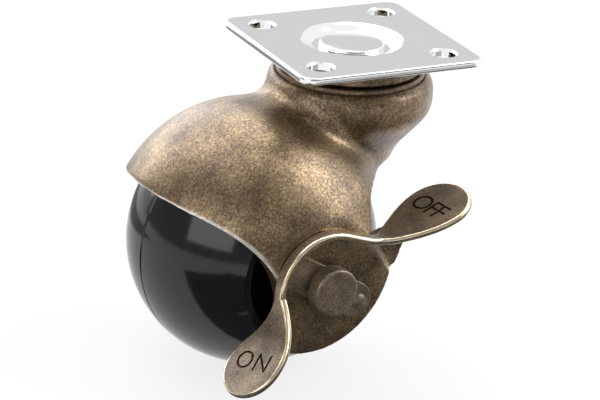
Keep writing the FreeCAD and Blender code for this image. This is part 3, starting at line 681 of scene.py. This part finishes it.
    def build(self) -> bpy.types.Object:
        """Casts the hood.

        Returns:
            The finished hood in the row frame.
        """
        neck = turned("hood_neck", self.neck_profile(), 128)
        deselect()
        bpy.ops.mesh.primitive_uv_sphere_add(
            segments=160, ring_count=96, radius=self.shell_r * MM, location=self.place.axle() * MM)
        body = bpy.context.object
        body.name = "hood_casting"
        bpy.ops.object.transform_apply(location=True)
        carve(body, neck, Cut.ADD, Solver.DENSE)
        apply_modifier(body, "REMESH", mode="VOXEL", voxel_size=self.first_voxel * MM)
        self.soften_junction(body)
        ends = self.side([(-70, -70), (70, -70), (70, 70), (-70, 70)], -self.pad_out, self.pad_out, "ends")
        carve(body, ends, Cut.KEEP, Solver.DENSE)
        for reach_from, reach_to in ((self.leg_in - 1.0, self.pad_out), (-self.pad_out, 1.0 - self.leg_in)):
            carve(body, self.pad(reach_from, reach_to), Cut.ADD, Solver.DENSE)
        carve(body, self.envelope(), Cut.KEEP, Solver.DENSE)
        carve(body, self.stop_lug(), Cut.ADD, Solver.DENSE)
        for hollow in self.bores():
            carve(body, hollow, Cut.TAKE, Solver.DENSE)
        apply_modifier(body, "REMESH", mode="VOXEL", voxel_size=self.last_voxel * MM)
        apply_modifier(body, "SMOOTH", factor=0.5, iterations=3)
        self.soften_edges(body)
        focus(body)
        bpy.ops.object.shade_smooth()
        self.mark_rim(body)
        settle(body, self.place.turn())
        return body


@dataclass(frozen=True)
class Leaf:
    """Outline of one paddle, with the start of its flanks, its widest place and how it leans and swells."""

    first: float
    belly: float
    half: float
    lean: float
    swell: Point


@dataclass(frozen=True)
class Word:
    """Letters cut into a paddle, with their spacing, their place from the arm's root and their turn."""

    letters: str
    size: float
    spread: float
    reach: float
    along: float
    tilt_deg: float


@dataclass
class BrakeLever:
    """Stamped lever: a strip blank with two leaves, lettered and then bent, with its tab on the axle."""

    place: HoodPlace
    thick: float = 1.4
    edge_bevel: float = 0.52
    arm_half: float = 1.4
    middle_reach: float = 27.7
    arch_r: float = 10.8
    arch_start_deg: float = 70.0
    on_bend_r: float = 13.0
    on_bend_deg: float = 46.0
    on_run: float = 11.1
    on_belly: float = 13.5
    on_half: float = 7.0
    on_lean: float = 2.4
    on_swell: Point = (1.8, 0.2)
    off_run: float = 5.0
    off_bend_r: float = 12.0
    off_bend_deg: float = 32.0
    off_sweep_r: float = 70.0
    off_sweep: float = 19.0
    off_start: float = 6.8
    off_belly: float = 22.0
    off_half: float = 7.5
    off_lean: float = -1.5
    off_swell: Point = (1.5, 1.5)
    tab_deg: float = -31.0
    tab_half: float = 3.6
    tab_end: float = 11.8
    tab_in: float = 26.3
    bore_r: float = 3.05
    boss_at: float = 9.2
    boss_r: float = 1.7
    boss_h: float = 0.6
    bump_r: float = 1.05
    bump_h: float = 0.5
    throw_deg: float = 15.0
    on_word: Word = Word("ON", 5.6, 1.08, 2.2, -14.1, 16.0)
    off_word: Word = Word("OFF", 6.2, 0.82, -1.9, 22.3, 0.0)
    letter_depth: float = 0.28
    letter_thinning: float = 0.02
    tab_round: float = 0.25
    dice: float = 0.8

    def moves(self) -> list[tuple[float, float]]:
        """Bends from the ON tip to the OFF tip as (length, radius); left is above 0 and straight is 0."""
        return [
            (self.on_run, 0.0), (self.on_bend_r * math.radians(self.on_bend_deg), self.on_bend_r),
            (self.arch_r * math.radians(180 - self.arch_start_deg), -self.arch_r), (self.off_run, 0.0),
            (self.off_bend_r * math.radians(self.off_bend_deg), self.off_bend_r),
            (self.off_sweep, self.off_sweep_r)]

    def roots(self) -> tuple[float, float]:
        """Distances from the ON tip to where the ON arm and the OFF arm leave the arch."""
        run, bend, arch = (length for length, _ in self.moves()[:3])
        return run + bend, run + bend + arch

    def follow(self, distance: float) -> tuple[float, float, float]:
        """Place on the bent strip's middle line.

        Args:
            distance: length along the strip from the ON tip.

        Returns:
            Back and up from the axle, and the heading in radians.
        """
        x, y, heading = self.start()
        for length, radius in self.moves():
            step = min(distance, length)
            x, y, heading = self.advance(x, y, heading, step, radius)
            distance -= step
            if distance <= 0:
                break
        return x + distance * math.cos(heading), y + distance * math.sin(heading), heading

    @staticmethod
    def advance(x: float, y: float, heading: float, step: float, radius: float) -> tuple[float, float, float]:
        """Moves along a straight or a bend."""
        if not radius:
            return x + step * math.cos(heading), y + step * math.sin(heading), heading
        turn = step / radius
        chord = 2 * radius * math.sin(turn / 2)
        middle = heading + turn / 2
        return x + chord * math.cos(middle), y + chord * math.sin(middle), heading + turn

    def start(self) -> tuple[float, float, float]:
        """Place and heading of the ON tip, such that the arch is centred on the axle."""
        heading = math.radians(90 - self.on_bend_deg)
        x, y, turned_to = 0.0, 0.0, heading
        for length, radius in self.moves()[:2]:
            x, y, turned_to = self.advance(x, y, turned_to, length, radius)
        return -self.arch_r - x, -y, heading

    def leaf_edge(self, along: float, leaf: Leaf, length: float, side: int) -> float:
        """Reach of one edge of a leaf, from the strip's middle.

        Args:
            along: distance from the leaf's root.
            leaf: the leaf's sizes.
            length: distance from the root to the tip.
            side: 1 on the brake side and -1 on the hood's side.
        """
        if along <= leaf.first:
            return side * self.arm_half
        if along <= leaf.belly:
            u = (along - leaf.first) / (leaf.belly - leaf.first)
            swell = leaf.swell[0] if side > 0 else leaf.swell[1]
            share = swell * u * (1 - u) ** 2 + u * u * (3 - 2 * u)
            return side * self.arm_half + (leaf.lean + side * (leaf.half - self.arm_half)) * share
        share = min((along - leaf.belly) / (length - leaf.belly), 1.0)
        return leaf.lean + side * leaf.half * math.sqrt(max(1 - share * share, 0.0))

    def arm_outline(self, root: float, tip: float, leaf: Leaf, face: float, side: int) -> list[Point]:
        """One edge of an arm's blank from root to tip.

        Args:
            root: distance of the arm's root from the ON tip.
            tip: distance of the arm's tip from the ON tip.
            leaf: the leaf's sizes.
            face: heading that the leaf's outline is square to, in radians.
            side: 1 on the brake side and -1 on the hood's side.

        Returns:
            Points as (reach from the strip's middle, distance from the ON tip).
        """
        root_back, root_up, _ = self.follow(root)

        def projected(distance: float) -> float:
            back, up, _ = self.follow(distance)
            return abs((back - root_back) * math.cos(face) + (up - root_up) * math.sin(face))

        length = projected(tip)
        steps = 72
        line = []
        for k in range(steps + 1):
            distance = root + (tip - root) * math.sin(math.pi / 2 * k / steps)
            line.append((self.leaf_edge(projected(distance), leaf, length, side), distance))
        return line

    def blank(self) -> bpy.types.Object:
        """Flat strip with both leaves: X is the reach, Y runs from the ON tip to the OFF tip."""
        total = sum(length for length, _ in self.moves())
        on_root, off_root = self.roots()
        on_face = math.radians(90 - self.on_bend_deg)
        off_face = self.follow(total - self.off_sweep / 2)[2]
        on_leaf = Leaf(0.0, self.on_belly, self.on_half, self.on_lean, self.on_swell)
        off_leaf = Leaf(self.off_start, self.off_belly, self.off_half, self.off_lean, self.off_swell)
        edges = []
        for side in (1, -1):
            on_edge = self.arm_outline(on_root, 0.0, on_leaf, on_face, side)
            off_edge = self.arm_outline(off_root, total, off_leaf, off_face, side)
            edges.append([*reversed(on_edge), *off_edge])
        outline = [*edges[0], *reversed(edges[1][1:-1])]
        corners = [Vector((x, y, -self.thick / 2)) for x, y in outline]
        return prism("brake_lever_leaf", corners, Vector((0.0, 0.0, self.thick)))

    def engrave(self, plate: bpy.types.Object, word: Word, root: float) -> None:
        """Cuts a word into the outer face.

        Args:
            plate: flat blank.
            word: letters to cut.
            root: distance of the arm's root from the ON tip.
        """
        deselect()
        bpy.ops.object.text_add()
        settings = {
            "body": word.letters, "size": word.size * MM, "space_character": word.spread,
            "extrude": self.letter_depth * MM, "offset": -self.letter_thinning * MM, "align_x": "CENTER",
            "align_y": "CENTER", "resolution_u": 5}
        for name, value in settings.items():
            setattr(bpy.context.object.data, name, value)
        bpy.ops.object.convert(target="MESH")
        stamp = bpy.context.object
        turn = Matrix.Rotation(math.radians(word.tilt_deg), 4, "Z")
        at = Vector((word.reach, root + word.along, self.thick / 2))
        settle(stamp, Matrix.Translation(at * MM) @ turn)
        edit_all(stamp)
        bpy.ops.mesh.remove_doubles(threshold=1e-7)
        bpy.ops.mesh.normals_make_consistent(inside=False)
        bpy.ops.object.mode_set(mode="OBJECT")
        coat(stamp, *plate.data.materials)
        for face in stamp.data.polygons:
            face.material_index = 2
        carve(plate, stamp, Cut.TAKE, Solver.CLEAN)

    def bend(self, plate: bpy.types.Object) -> None:
        """Dices the blank across its length and bends it along the lever's line."""
        edit_all(plate)
        total = sum(length for length, _ in self.moves())
        for k in range(1, int(total / self.dice)):
            bpy.ops.mesh.select_all(action="SELECT")
            bpy.ops.mesh.bisect(plane_co=(0.0, k * self.dice * MM, 0.0), plane_no=(0.0, 1.0, 0.0))
        bpy.ops.mesh.select_all(action="SELECT")
        bpy.ops.mesh.quads_convert_to_tris(quad_method="BEAUTY", ngon_method="BEAUTY")
        bpy.ops.object.mode_set(mode="OBJECT")
        for vertex in plate.data.vertices:
            across, distance, rise = vertex.co / MM
            back, up, heading = self.follow(distance)
            back -= rise * math.sin(heading)
            up += rise * math.cos(heading)
            vertex.co = self.place.spot(back, self.middle_reach + across, up) * MM

    def tab(self, materials: Sequence[bpy.types.Material]) -> bpy.types.Object:
        """Flat tab from the arch across the axle, with its boss and the bump under it."""
        end = self.tab_end - self.tab_half
        root = -self.arch_r + 0.1
        outline = [(root, self.tab_half), (root, -self.tab_half), (end, -self.tab_half)]
        outline += arc((end, -self.tab_half), (self.tab_end, 0.0), (end, self.tab_half), 28)
        corners = [Vector((x, y, self.tab_in)) for x, y in outline]
        plate = prism("lever_tab", corners, Vector((0.0, 0.0, self.thick)))
        coat(plate, *materials)
        top = self.tab_in + self.thick
        round_rims(plate, (self.tab_in, top), self.tab_round, 0)
        carve(plate, rod("tab_bore", self.bore_r, 20.0, 32.0, 48), Cut.TAKE, Solver.CLEAN)
        boss = self.cap("lever_boss", self.boss_r, self.boss_h)
        settle(boss, Matrix.Translation(Vector((self.boss_at, 0.0, top - 0.05)) * MM))
        bump = self.cap("lever_bump", self.bump_r, -self.bump_h)
        angle = math.radians(-self.throw_deg)
        settle(bump, Matrix.Translation(Vector((
            self.boss_at * math.cos(angle), self.boss_at * math.sin(angle), self.tab_in + 0.05)) * MM))
        for extra in (boss, bump):
            coat(extra, materials[0])
        self.join(plate, [boss, bump])
        settle(plate, self.place.along_axle() @ Matrix.Rotation(math.radians(self.tab_deg), 4, "Z"))
        return plate

    @staticmethod
    def cap(name: str, radius: float, height: float) -> bpy.types.Object:
        """Low round cap on the XY plane, closed underneath."""
        ball_r = (radius * radius + height * height) / (2 * abs(height))
        sign = math.copysign(1.0, height)
        line = [(0.0, -0.05 * sign), (radius, -0.05 * sign)]
        for k in range(13):
            r = radius * math.cos(math.pi / 2 * k / 12)
            line.append((r, sign * (math.sqrt(ball_r ** 2 - r * r) - ball_r) + height))
        return turned(name, line, 40)

    @staticmethod
    def join(main: bpy.types.Object, others: Sequence[bpy.types.Object]) -> None:
        """Joins the other meshes into the main one."""
        focus(main)
        for other in others:
            other.select_set(True)
        bpy.ops.object.join()

    def build(self, materials: Sequence[bpy.types.Material]) -> bpy.types.Object:
        """Stamps, letters and bends the lever.

        Args:
            materials: finishes of the flat faces, of the rounded edges and of the letters.

        Returns:
            The finished lever in the row frame.
        """
        plate = self.blank()
        coat(plate, *materials)
        # Rounded edges take the pale cream finish: worn metal with a painted highlight.
        round_rims(plate, (-self.thick / 2, self.thick / 2), self.edge_bevel, 1)
        for word, root in zip((self.on_word, self.off_word), self.roots()):
            self.engrave(plate, word, root)
        self.bend(plate)
        self.join(plate, [self.tab(materials)])
        smooth(plate, 32.0)
        settle(plate, self.place.turn())
        return plate


@dataclass(frozen=True)
class PlateMount:
    """Pressed top plate with its soft-edged dish, and the kingpin whose low head lies in it."""

    half: float = 20.0
    thick: float = 1.6
    corner_r: float = 3.0
    edge_r: float = 0.5
    hole_at: float = 13.65
    hole_r: float = 2.5
    hole_bevel: float = 0.4
    dish_r: float = 10.9
    floor_r: float = 7.4
    dish_depth: float = 1.7
    pin_r: float = 4.0
    head_r: float = 6.6
    head_sink: float = 0.2
    head_crown: float = 0.4
    head_round: float = 0.5
    pin_low: float = -17.45
    peen_r: float = 5.2
    peen_h: float = 1.4

    def slope(self, outer: float, inner: float, high: float, low: float) -> list[Point]:
        """Soft S-shaped wall from an outer to an inner radius."""
        line = []
        for k in range(25):
            share = k / 24
            fall = share * share * (3 - 2 * share)
            line.append((outer + (inner - outer) * share, high + (low - high) * fall))
        return line

    def plate(self) -> bpy.types.Object:
        """Presses and drills the plate."""
        flat = self.half - self.corner_r
        outline = []
        for count, spot in enumerate(((flat, flat), (-flat, flat), (-flat, -flat), (flat, -flat)), start=1):
            corner = reversed(quarter(spot, self.corner_r, 90.0 * count, 12))
            outline += [Vector((x, y, -self.thick)) for x, y in corner]
        body = prism("top_plate_pressed", outline, Vector((0.0, 0.0, self.thick)))
        round_rims(body, (-self.thick, 0.0), self.edge_r, 0)
        under = -self.dish_depth - self.thick
        bulge = turned("dish_back", [
            (0.0, -0.8), (self.dish_r + 0.4, -0.8),
            *self.slope(self.dish_r + 0.4, self.floor_r + 0.9, 0.02 - self.thick, under), (0.0, under)], 128)
        carve(body, bulge, Cut.ADD, Solver.CLEAN)
        dish = turned("dish", [
            (0.0, 1.0), (self.dish_r, 1.0), *self.slope(self.dish_r, self.floor_r, 0.02, -self.dish_depth),
            (0.0, -self.dish_depth)], 128)
        carve(body, dish, Cut.TAKE, Solver.CLEAN)
        carve(body, rod("pin_bore", self.pin_r + 0.02, -9.0, 1.0, 64), Cut.TAKE, Solver.CLEAN)
        wide = self.hole_r + self.hole_bevel
        for x in (-self.hole_at, self.hole_at):
            for y in (-self.hole_at, self.hole_at):
                hole = turned("screw_hole", [
                    (0.0, -4.0), (self.hole_r, -4.0), (self.hole_r, -self.hole_bevel), (wide, 0.0),
                    (wide, 1.0), (0.0, 1.0)], 48)
                settle(hole, Matrix.Translation(Vector((x, y, 0.0)) * MM))
                carve(body, hole, Cut.TAKE, Solver.CLEAN)
        smooth(body, 24.0)
        return body

    def kingpin(self) -> bpy.types.Object:
        """Turns the kingpin, with a slightly crowned head."""
        edge_r = self.head_r - self.head_round
        shoulder = -self.head_sink - self.head_crown
        line = [(0.0, -self.head_sink)]
        for k in range(1, 13):
            line.append((edge_r * k / 12, -self.head_sink - self.head_crown * (k / 12) ** 2))
        line += quarter((edge_r, shoulder - self.head_round), self.head_round, 90.0, 6)[1:]
        low = self.pin_low - self.peen_h
        line += [
            (self.head_r, -self.dish_depth), (self.pin_r, -self.dish_depth), (self.pin_r, self.pin_low),
            (self.peen_r, self.pin_low), (self.pin_r, low), (0.0, low)]
        pin = turned("kingpin_crowned", line, 96)
        smooth(pin, 35.0)
        return pin


@dataclass(frozen=True)
class LowerRace:
    """Ring on the hood's flange: a ball track, and a lip that leaves a fine line under the upper ring."""

    bore_r: float = 6.4
    outer_r: float = 15.2
    top: float = -6.6
    low: float = -8.6
    track_low: float = -7.65
    track: tuple[float, float, float] = (8.26, 9.8, 11.34)
    lip_r: float = 13.3
    lip_top: float = -5.75
    edge_r: float = 0.45

    def build(self) -> bpy.types.Object:
        """Turns the ring."""
        first, middle, last = self.track
        round_r = self.outer_r - self.edge_r
        line = [(self.bore_r, self.low), (self.bore_r, self.top), (first, self.top)]
        line += arc((first, self.top), (middle, self.track_low), (last, self.top), 16)
        line += [(self.lip_r, self.top), (self.lip_r + 0.4, self.lip_top)]
        line += quarter((round_r, self.lip_top - self.edge_r), self.edge_r, 90.0, 6)
        line += quarter((round_r, self.low + self.edge_r), self.edge_r, 0.0, 6)
        ring = turned("lower_race_lipped", [*line, line[0]], 128)
        smooth(ring, 35.0)
        return ring


@dataclass(frozen=True)
class SmoothCopies:
    """CAD pieces whose shape is right, merged and shaded smooth so that they reflect as one surface."""

    angle_deg: float = 28.0

    def build(self, source: bpy.types.Object, material: bpy.types.Material) -> bpy.types.Object:
        """Copies one CAD piece.

        Args:
            source: CAD node.
            material: finish of the copy.

        Returns:
            The merged and smoothed copy.
        """
        copy = bpy.data.objects.new(source.name + "_finished", source.data.copy())
        bpy.context.scene.collection.objects.link(copy)
        edit_all(copy)
        bpy.ops.mesh.remove_doubles(threshold=2e-6)
        bpy.ops.mesh.customdata_custom_splitnormals_clear()
        bpy.ops.object.mode_set(mode="OBJECT")
        coat(copy, material)
        for face in copy.data.polygons:
            face.material_index = 0
        smooth(copy, self.angle_deg)
        return copy


@dataclass(frozen=True)
class SoftBox:
    """Lamp given by its direction along the camera's right, up and backward axes, and its brightness."""

    name: str
    toward: tuple[float, float, float]
    distance: float
    width: float
    height: float
    brightness: float


@dataclass(frozen=True)
class Card:
    """Plain card that only reflections see, given by its place, the way it faces and its grey."""

    name: str
    spot: tuple[float, float, float]
    faces: tuple[float, float, float]
    width: float
    height: float
    grey_value: float


@dataclass
class Studio:
    """Pale floor, soft boxes, cards for the reflections and a white surround."""

    floor_z: float = -64.8
    floor_glow: float = 0.8
    paper: str = "#F4F4F4"
    sky_light: float = 0.45
    aim: tuple[float, float, float] = (-0.012, -0.005, -0.035)
    lamps: tuple[SoftBox, ...] = (
        SoftBox("softbox_left", (-0.56, 0.12, 0.82), 0.75, 0.6, 0.4, 1.85),
        SoftBox("softbox_top", (-0.38, 0.86, -0.26), 0.75, 0.8, 1.15, 2.3),
        SoftBox("softbox_right", (0.8, 0.58, 0.16), 0.75, 0.4, 0.6, 4.6))
    cards: tuple[Card, ...] = (
        Card("dark_front_card", (-0.4, -0.8, 0.33), (0.417, 0.829, -0.373), 5.0, 2.2, 0.32),
        Card("dark_left_card", (-0.95, 0.33, 0.12), (0.934, -0.335, -0.156), 1.4, 1.8, 0.32),
        Card("dark_table_card", (-0.01, -0.0735, -0.0640), (0.0, 0.0, 1.0), 0.24, 0.103, 0.1),
        Card("left_edge_card", (-0.1, 0.145, -0.0640), (0.0, 0.0, 1.0), 0.18, 0.09, 0.3),
        Card("front_edge_card", (0.09, -0.17, -0.0640), (0.0, 0.0, 1.0), 0.22, 0.08, 0.45),
        Card("grey_back_card", (0.36, 0.72, 0.33), (-0.42, -0.83, -0.37), 0.5, 0.34, 0.7))

    def light(self, camera: bpy.types.Object) -> None:
        """Hangs the soft boxes, all turned to the castor.

        Args:
            camera: camera whose axes give the lamps' directions.
        """
        aim = Vector(self.aim)
        for box in self.lamps:
            away = camera.matrix_world.to_3x3() @ Vector(box.toward).normalized()
            deselect()
            bpy.ops.object.light_add(type="AREA", location=aim + away * box.distance)
            lamp = bpy.context.object
            lamp.name = box.name
            lamp.data.shape = "RECTANGLE"
            lamp.data.size = box.width
            lamp.data.size_y = box.height
            lamp.data.energy = box.brightness * math.pi * box.width * box.height
            lamp.rotation_euler = (-away).to_track_quat("-Z", "Y").to_euler()

    def hang_cards(self) -> None:
        """Sets up the cards, which the camera, the light and the shadows pass through."""
        for card in self.cards:
            deselect()
            bpy.ops.mesh.primitive_plane_add(size=1.0)
            plane = bpy.context.object
            plane.name = card.name
            plane.scale = (card.width, card.height, 1.0)
            plane.rotation_euler = Vector(card.faces).to_track_quat("Z", "Y").to_euler()
            plane.location = card.spot
            bpy.ops.object.transform_apply(location=True, rotation=True, scale=True)
            material, tree = blank_material(card.name)
            glow = add_node(tree, "ShaderNodeEmission", {"Color": grey(1.0), "Strength": card.grey_value})
            add_node(tree, "ShaderNodeOutputMaterial", {}, {"Surface": glow.outputs[0]})
            coat(plane, material)
            for kind in ("camera", "diffuse", "shadow", "transmission"):
                setattr(plane, "visible_" + kind, False)

    def floor(self) -> None:
        """Lays the floor, which stays near white and keeps a soft shadow."""
        deselect()
        bpy.ops.mesh.primitive_plane_add(size=8.0, location=(0.0, 0.0, self.floor_z * MM))
        plane = bpy.context.object
        plane.name = "studio_floor"
        bpy.ops.object.transform_apply(location=True)
        material, tree = blank_material("white_sweep")
        part = add_node(
            tree, "ShaderNodeMath", {"operation": "MULTIPLY", 1: self.floor_glow}, {0: seen_directly(tree)})
        paper = add_node(tree, "ShaderNodeBsdfDiffuse", {"Color": linear(self.paper)})
        glow = add_node(tree, "ShaderNodeEmission", {"Color": grey(1.0), "Strength": 1.0})
        mixed = add_node(tree, "ShaderNodeMixShader", {}, {
            0: part.outputs[0], 1: paper.outputs[0], 2: glow.outputs[0]})
        add_node(tree, "ShaderNodeOutputMaterial", {}, {"Surface": mixed.outputs[0]})
        coat(plane, material)

    def surround(self) -> None:
        """White seen by the camera and by reflections, with a plainer light on the object."""
        world = bpy.data.worlds.new("white_surround")
        bpy.context.scene.world = world
        world.use_nodes = True
        tree = world.node_tree
        tree.nodes.clear()
        strength = add_node(tree, "ShaderNodeMapRange", {"To Min": self.sky_light, "To Max": 1.0}, {
            "Value": seen_directly(tree)})
        sky = add_node(
            tree, "ShaderNodeBackground", {"Color": grey(1.0)}, {"Strength": strength.outputs["Result"]})
        add_node(tree, "ShaderNodeOutputWorld", {}, {"Surface": sky.outputs["Background"]})


@dataclass(frozen=True)
class PhotoCamera:
    """Camera at the photograph's place, for a frame of 600 by 400."""

    azimuth_deg: float = -26.726
    elevation_deg: float = 21.879
    roll_deg: float = 3.006
    distance: float = 551.628
    focal_px: float = 2736.0
    frame_w: float = 600.0
    frame_h: float = 400.0
    origin_px: Point = (351.914, 38.52)
    sensor: float = 36.0

    def build(self) -> bpy.types.Object:
        """Adds the camera and makes it the scene's."""
        azimuth = math.radians(self.azimuth_deg)
        elevation = math.radians(self.elevation_deg)
        roll = math.radians(self.roll_deg)
        flat = math.cos(elevation)
        back = Vector((math.sin(azimuth) * flat, -math.cos(azimuth) * flat, math.sin(elevation)))
        level = Vector((math.cos(azimuth), math.sin(azimuth), 0.0))
        rise = back.cross(level)
        right = level * math.cos(roll) + rise * math.sin(roll)
        up = rise * math.cos(roll) - level * math.sin(roll)
        across = (self.origin_px[0] - self.frame_w / 2) * self.distance / self.focal_px
        above = (self.frame_h / 2 - self.origin_px[1]) * self.distance / self.focal_px
        spot = back * self.distance - right * across - up * above
        deselect()
        bpy.ops.object.camera_add()
        camera = bpy.context.object
        camera.name = "photo_camera"
        camera.matrix_world = Matrix.Translation(spot * MM) @ Matrix((right, up, back)).transposed().to_4x4()
        camera.data.sensor_width = self.sensor
        camera.data.lens = self.sensor * self.focal_px / self.frame_w
        camera.data.clip_start = 0.01
        bpy.context.scene.camera = camera
        return camera


def finish_piece(piece: bpy.types.Object, body: str, node: str) -> None:
    """Puts a finished piece in the place of its CAD node."""
    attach(piece, body)
    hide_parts(node)
    LOG.info("%s stands for %s on %s", piece.name, node, body)


def main() -> None:
    """Builds the castor's looks and its studio."""
    logging.basicConfig(level=logging.INFO, format="%(name)s: %(message)s")
    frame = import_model()
    scene = bpy.context.scene
    scene.view_settings.view_transform = "Standard"
    place = HoodPlace()

    casting = HoodCasting(place)
    cast_bronze = AntiqueBronze(edge_attribute=casting.edge_attribute).build()
    stamped_bronze = AntiqueBronze(
        name="antique_bronze_stamped", oxide="#3F352B", umber="#6C5C4B", gold="#8D7A61", fleck="#B09A78",
        fleck_mm=0.35, cloud_mm=5.0, metal=0.65).build()
    # Pale cream finish for the lever's rounded edges: worn metal with a painted highlight.
    edge_wear_highlight = PlatedMetal("bronze_edge_wear_highlight", "#FFF3DA", "#D9C298", 0.18, 0.32, 2.0).build()
    engraved = PlatedMetal("engraved_bronze", "#4A3A28", "#2A2016", 0.4, 0.6, 0.8).build()
    finishes = {
        "plate_chrome": PlatedMetal("nickel_plate", "#F4F4F5", "#F0F0F1", 0.08, 0.12, 9.0).build(),
        "bare_steel": PlatedMetal("bearing_steel", "#A9A7A4", "#8D8B88", 0.2, 0.32).build(),
        "bronze_casting": cast_bronze,
        "bronze_steel": stamped_bronze,
        "ball_plastic": MouldedPlastic("polished_black_nylon", "#131318", "#0E0E12", 0.1, 0.14).build(),
        "bush_plastic": MouldedPlastic("natural_acetal", "#E6E4DA", "#D8D5CA", 0.35, 0.45).build(),
        "shoe_rubber": MouldedPlastic("friction_rubber", "#1C1B1A", "#141312", 0.7, 0.85).build()}
    slots = {entry["node"]: entry["material_slot"] for entry in frame["record"]["subparts"]}
    black_steel = PlatedMetal("blackened_steel", "#1E1E20", "#161617", 0.3, 0.45).build()
    looks = {"brake_ring": black_steel, "upper_race": cast_bronze, "lower_race": cast_bronze}

    hood = casting.build()
    coat(hood, cast_bronze)
    finish_piece(hood, "hood", "hood")
    lever = BrakeLever(place).build((stamped_bronze, edge_wear_highlight, engraved))
    lever.name = "brake_lever_bent"
    finish_piece(lever, "lever", "brake_lever")
    mount = PlateMount()
    shaped = (
        ("top_plate", "plate", mount.plate()), ("kingpin", "plate", mount.kingpin()),
        ("lower_race", "hood", LowerRace().build()))
    for node, body, piece in shaped:
        coat(piece, looks.get(node, finishes[slots[node]]))
        finish_piece(piece, body, node)
    copies = SmoothCopies()
    for node, source in frame["nodes"].items():
        if node in ("hood", "brake_lever", "top_plate", "kingpin", "lower_race"):
            continue
        piece = copies.build(source, looks.get(node, finishes[slots[node]]))
        finish_piece(piece, source["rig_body"], node)

    studio = Studio()
    studio.light(PhotoCamera().build())
    studio.hang_cards()
    studio.floor()
    studio.surround()
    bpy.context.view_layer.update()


if __name__ == "__main__":
    main()
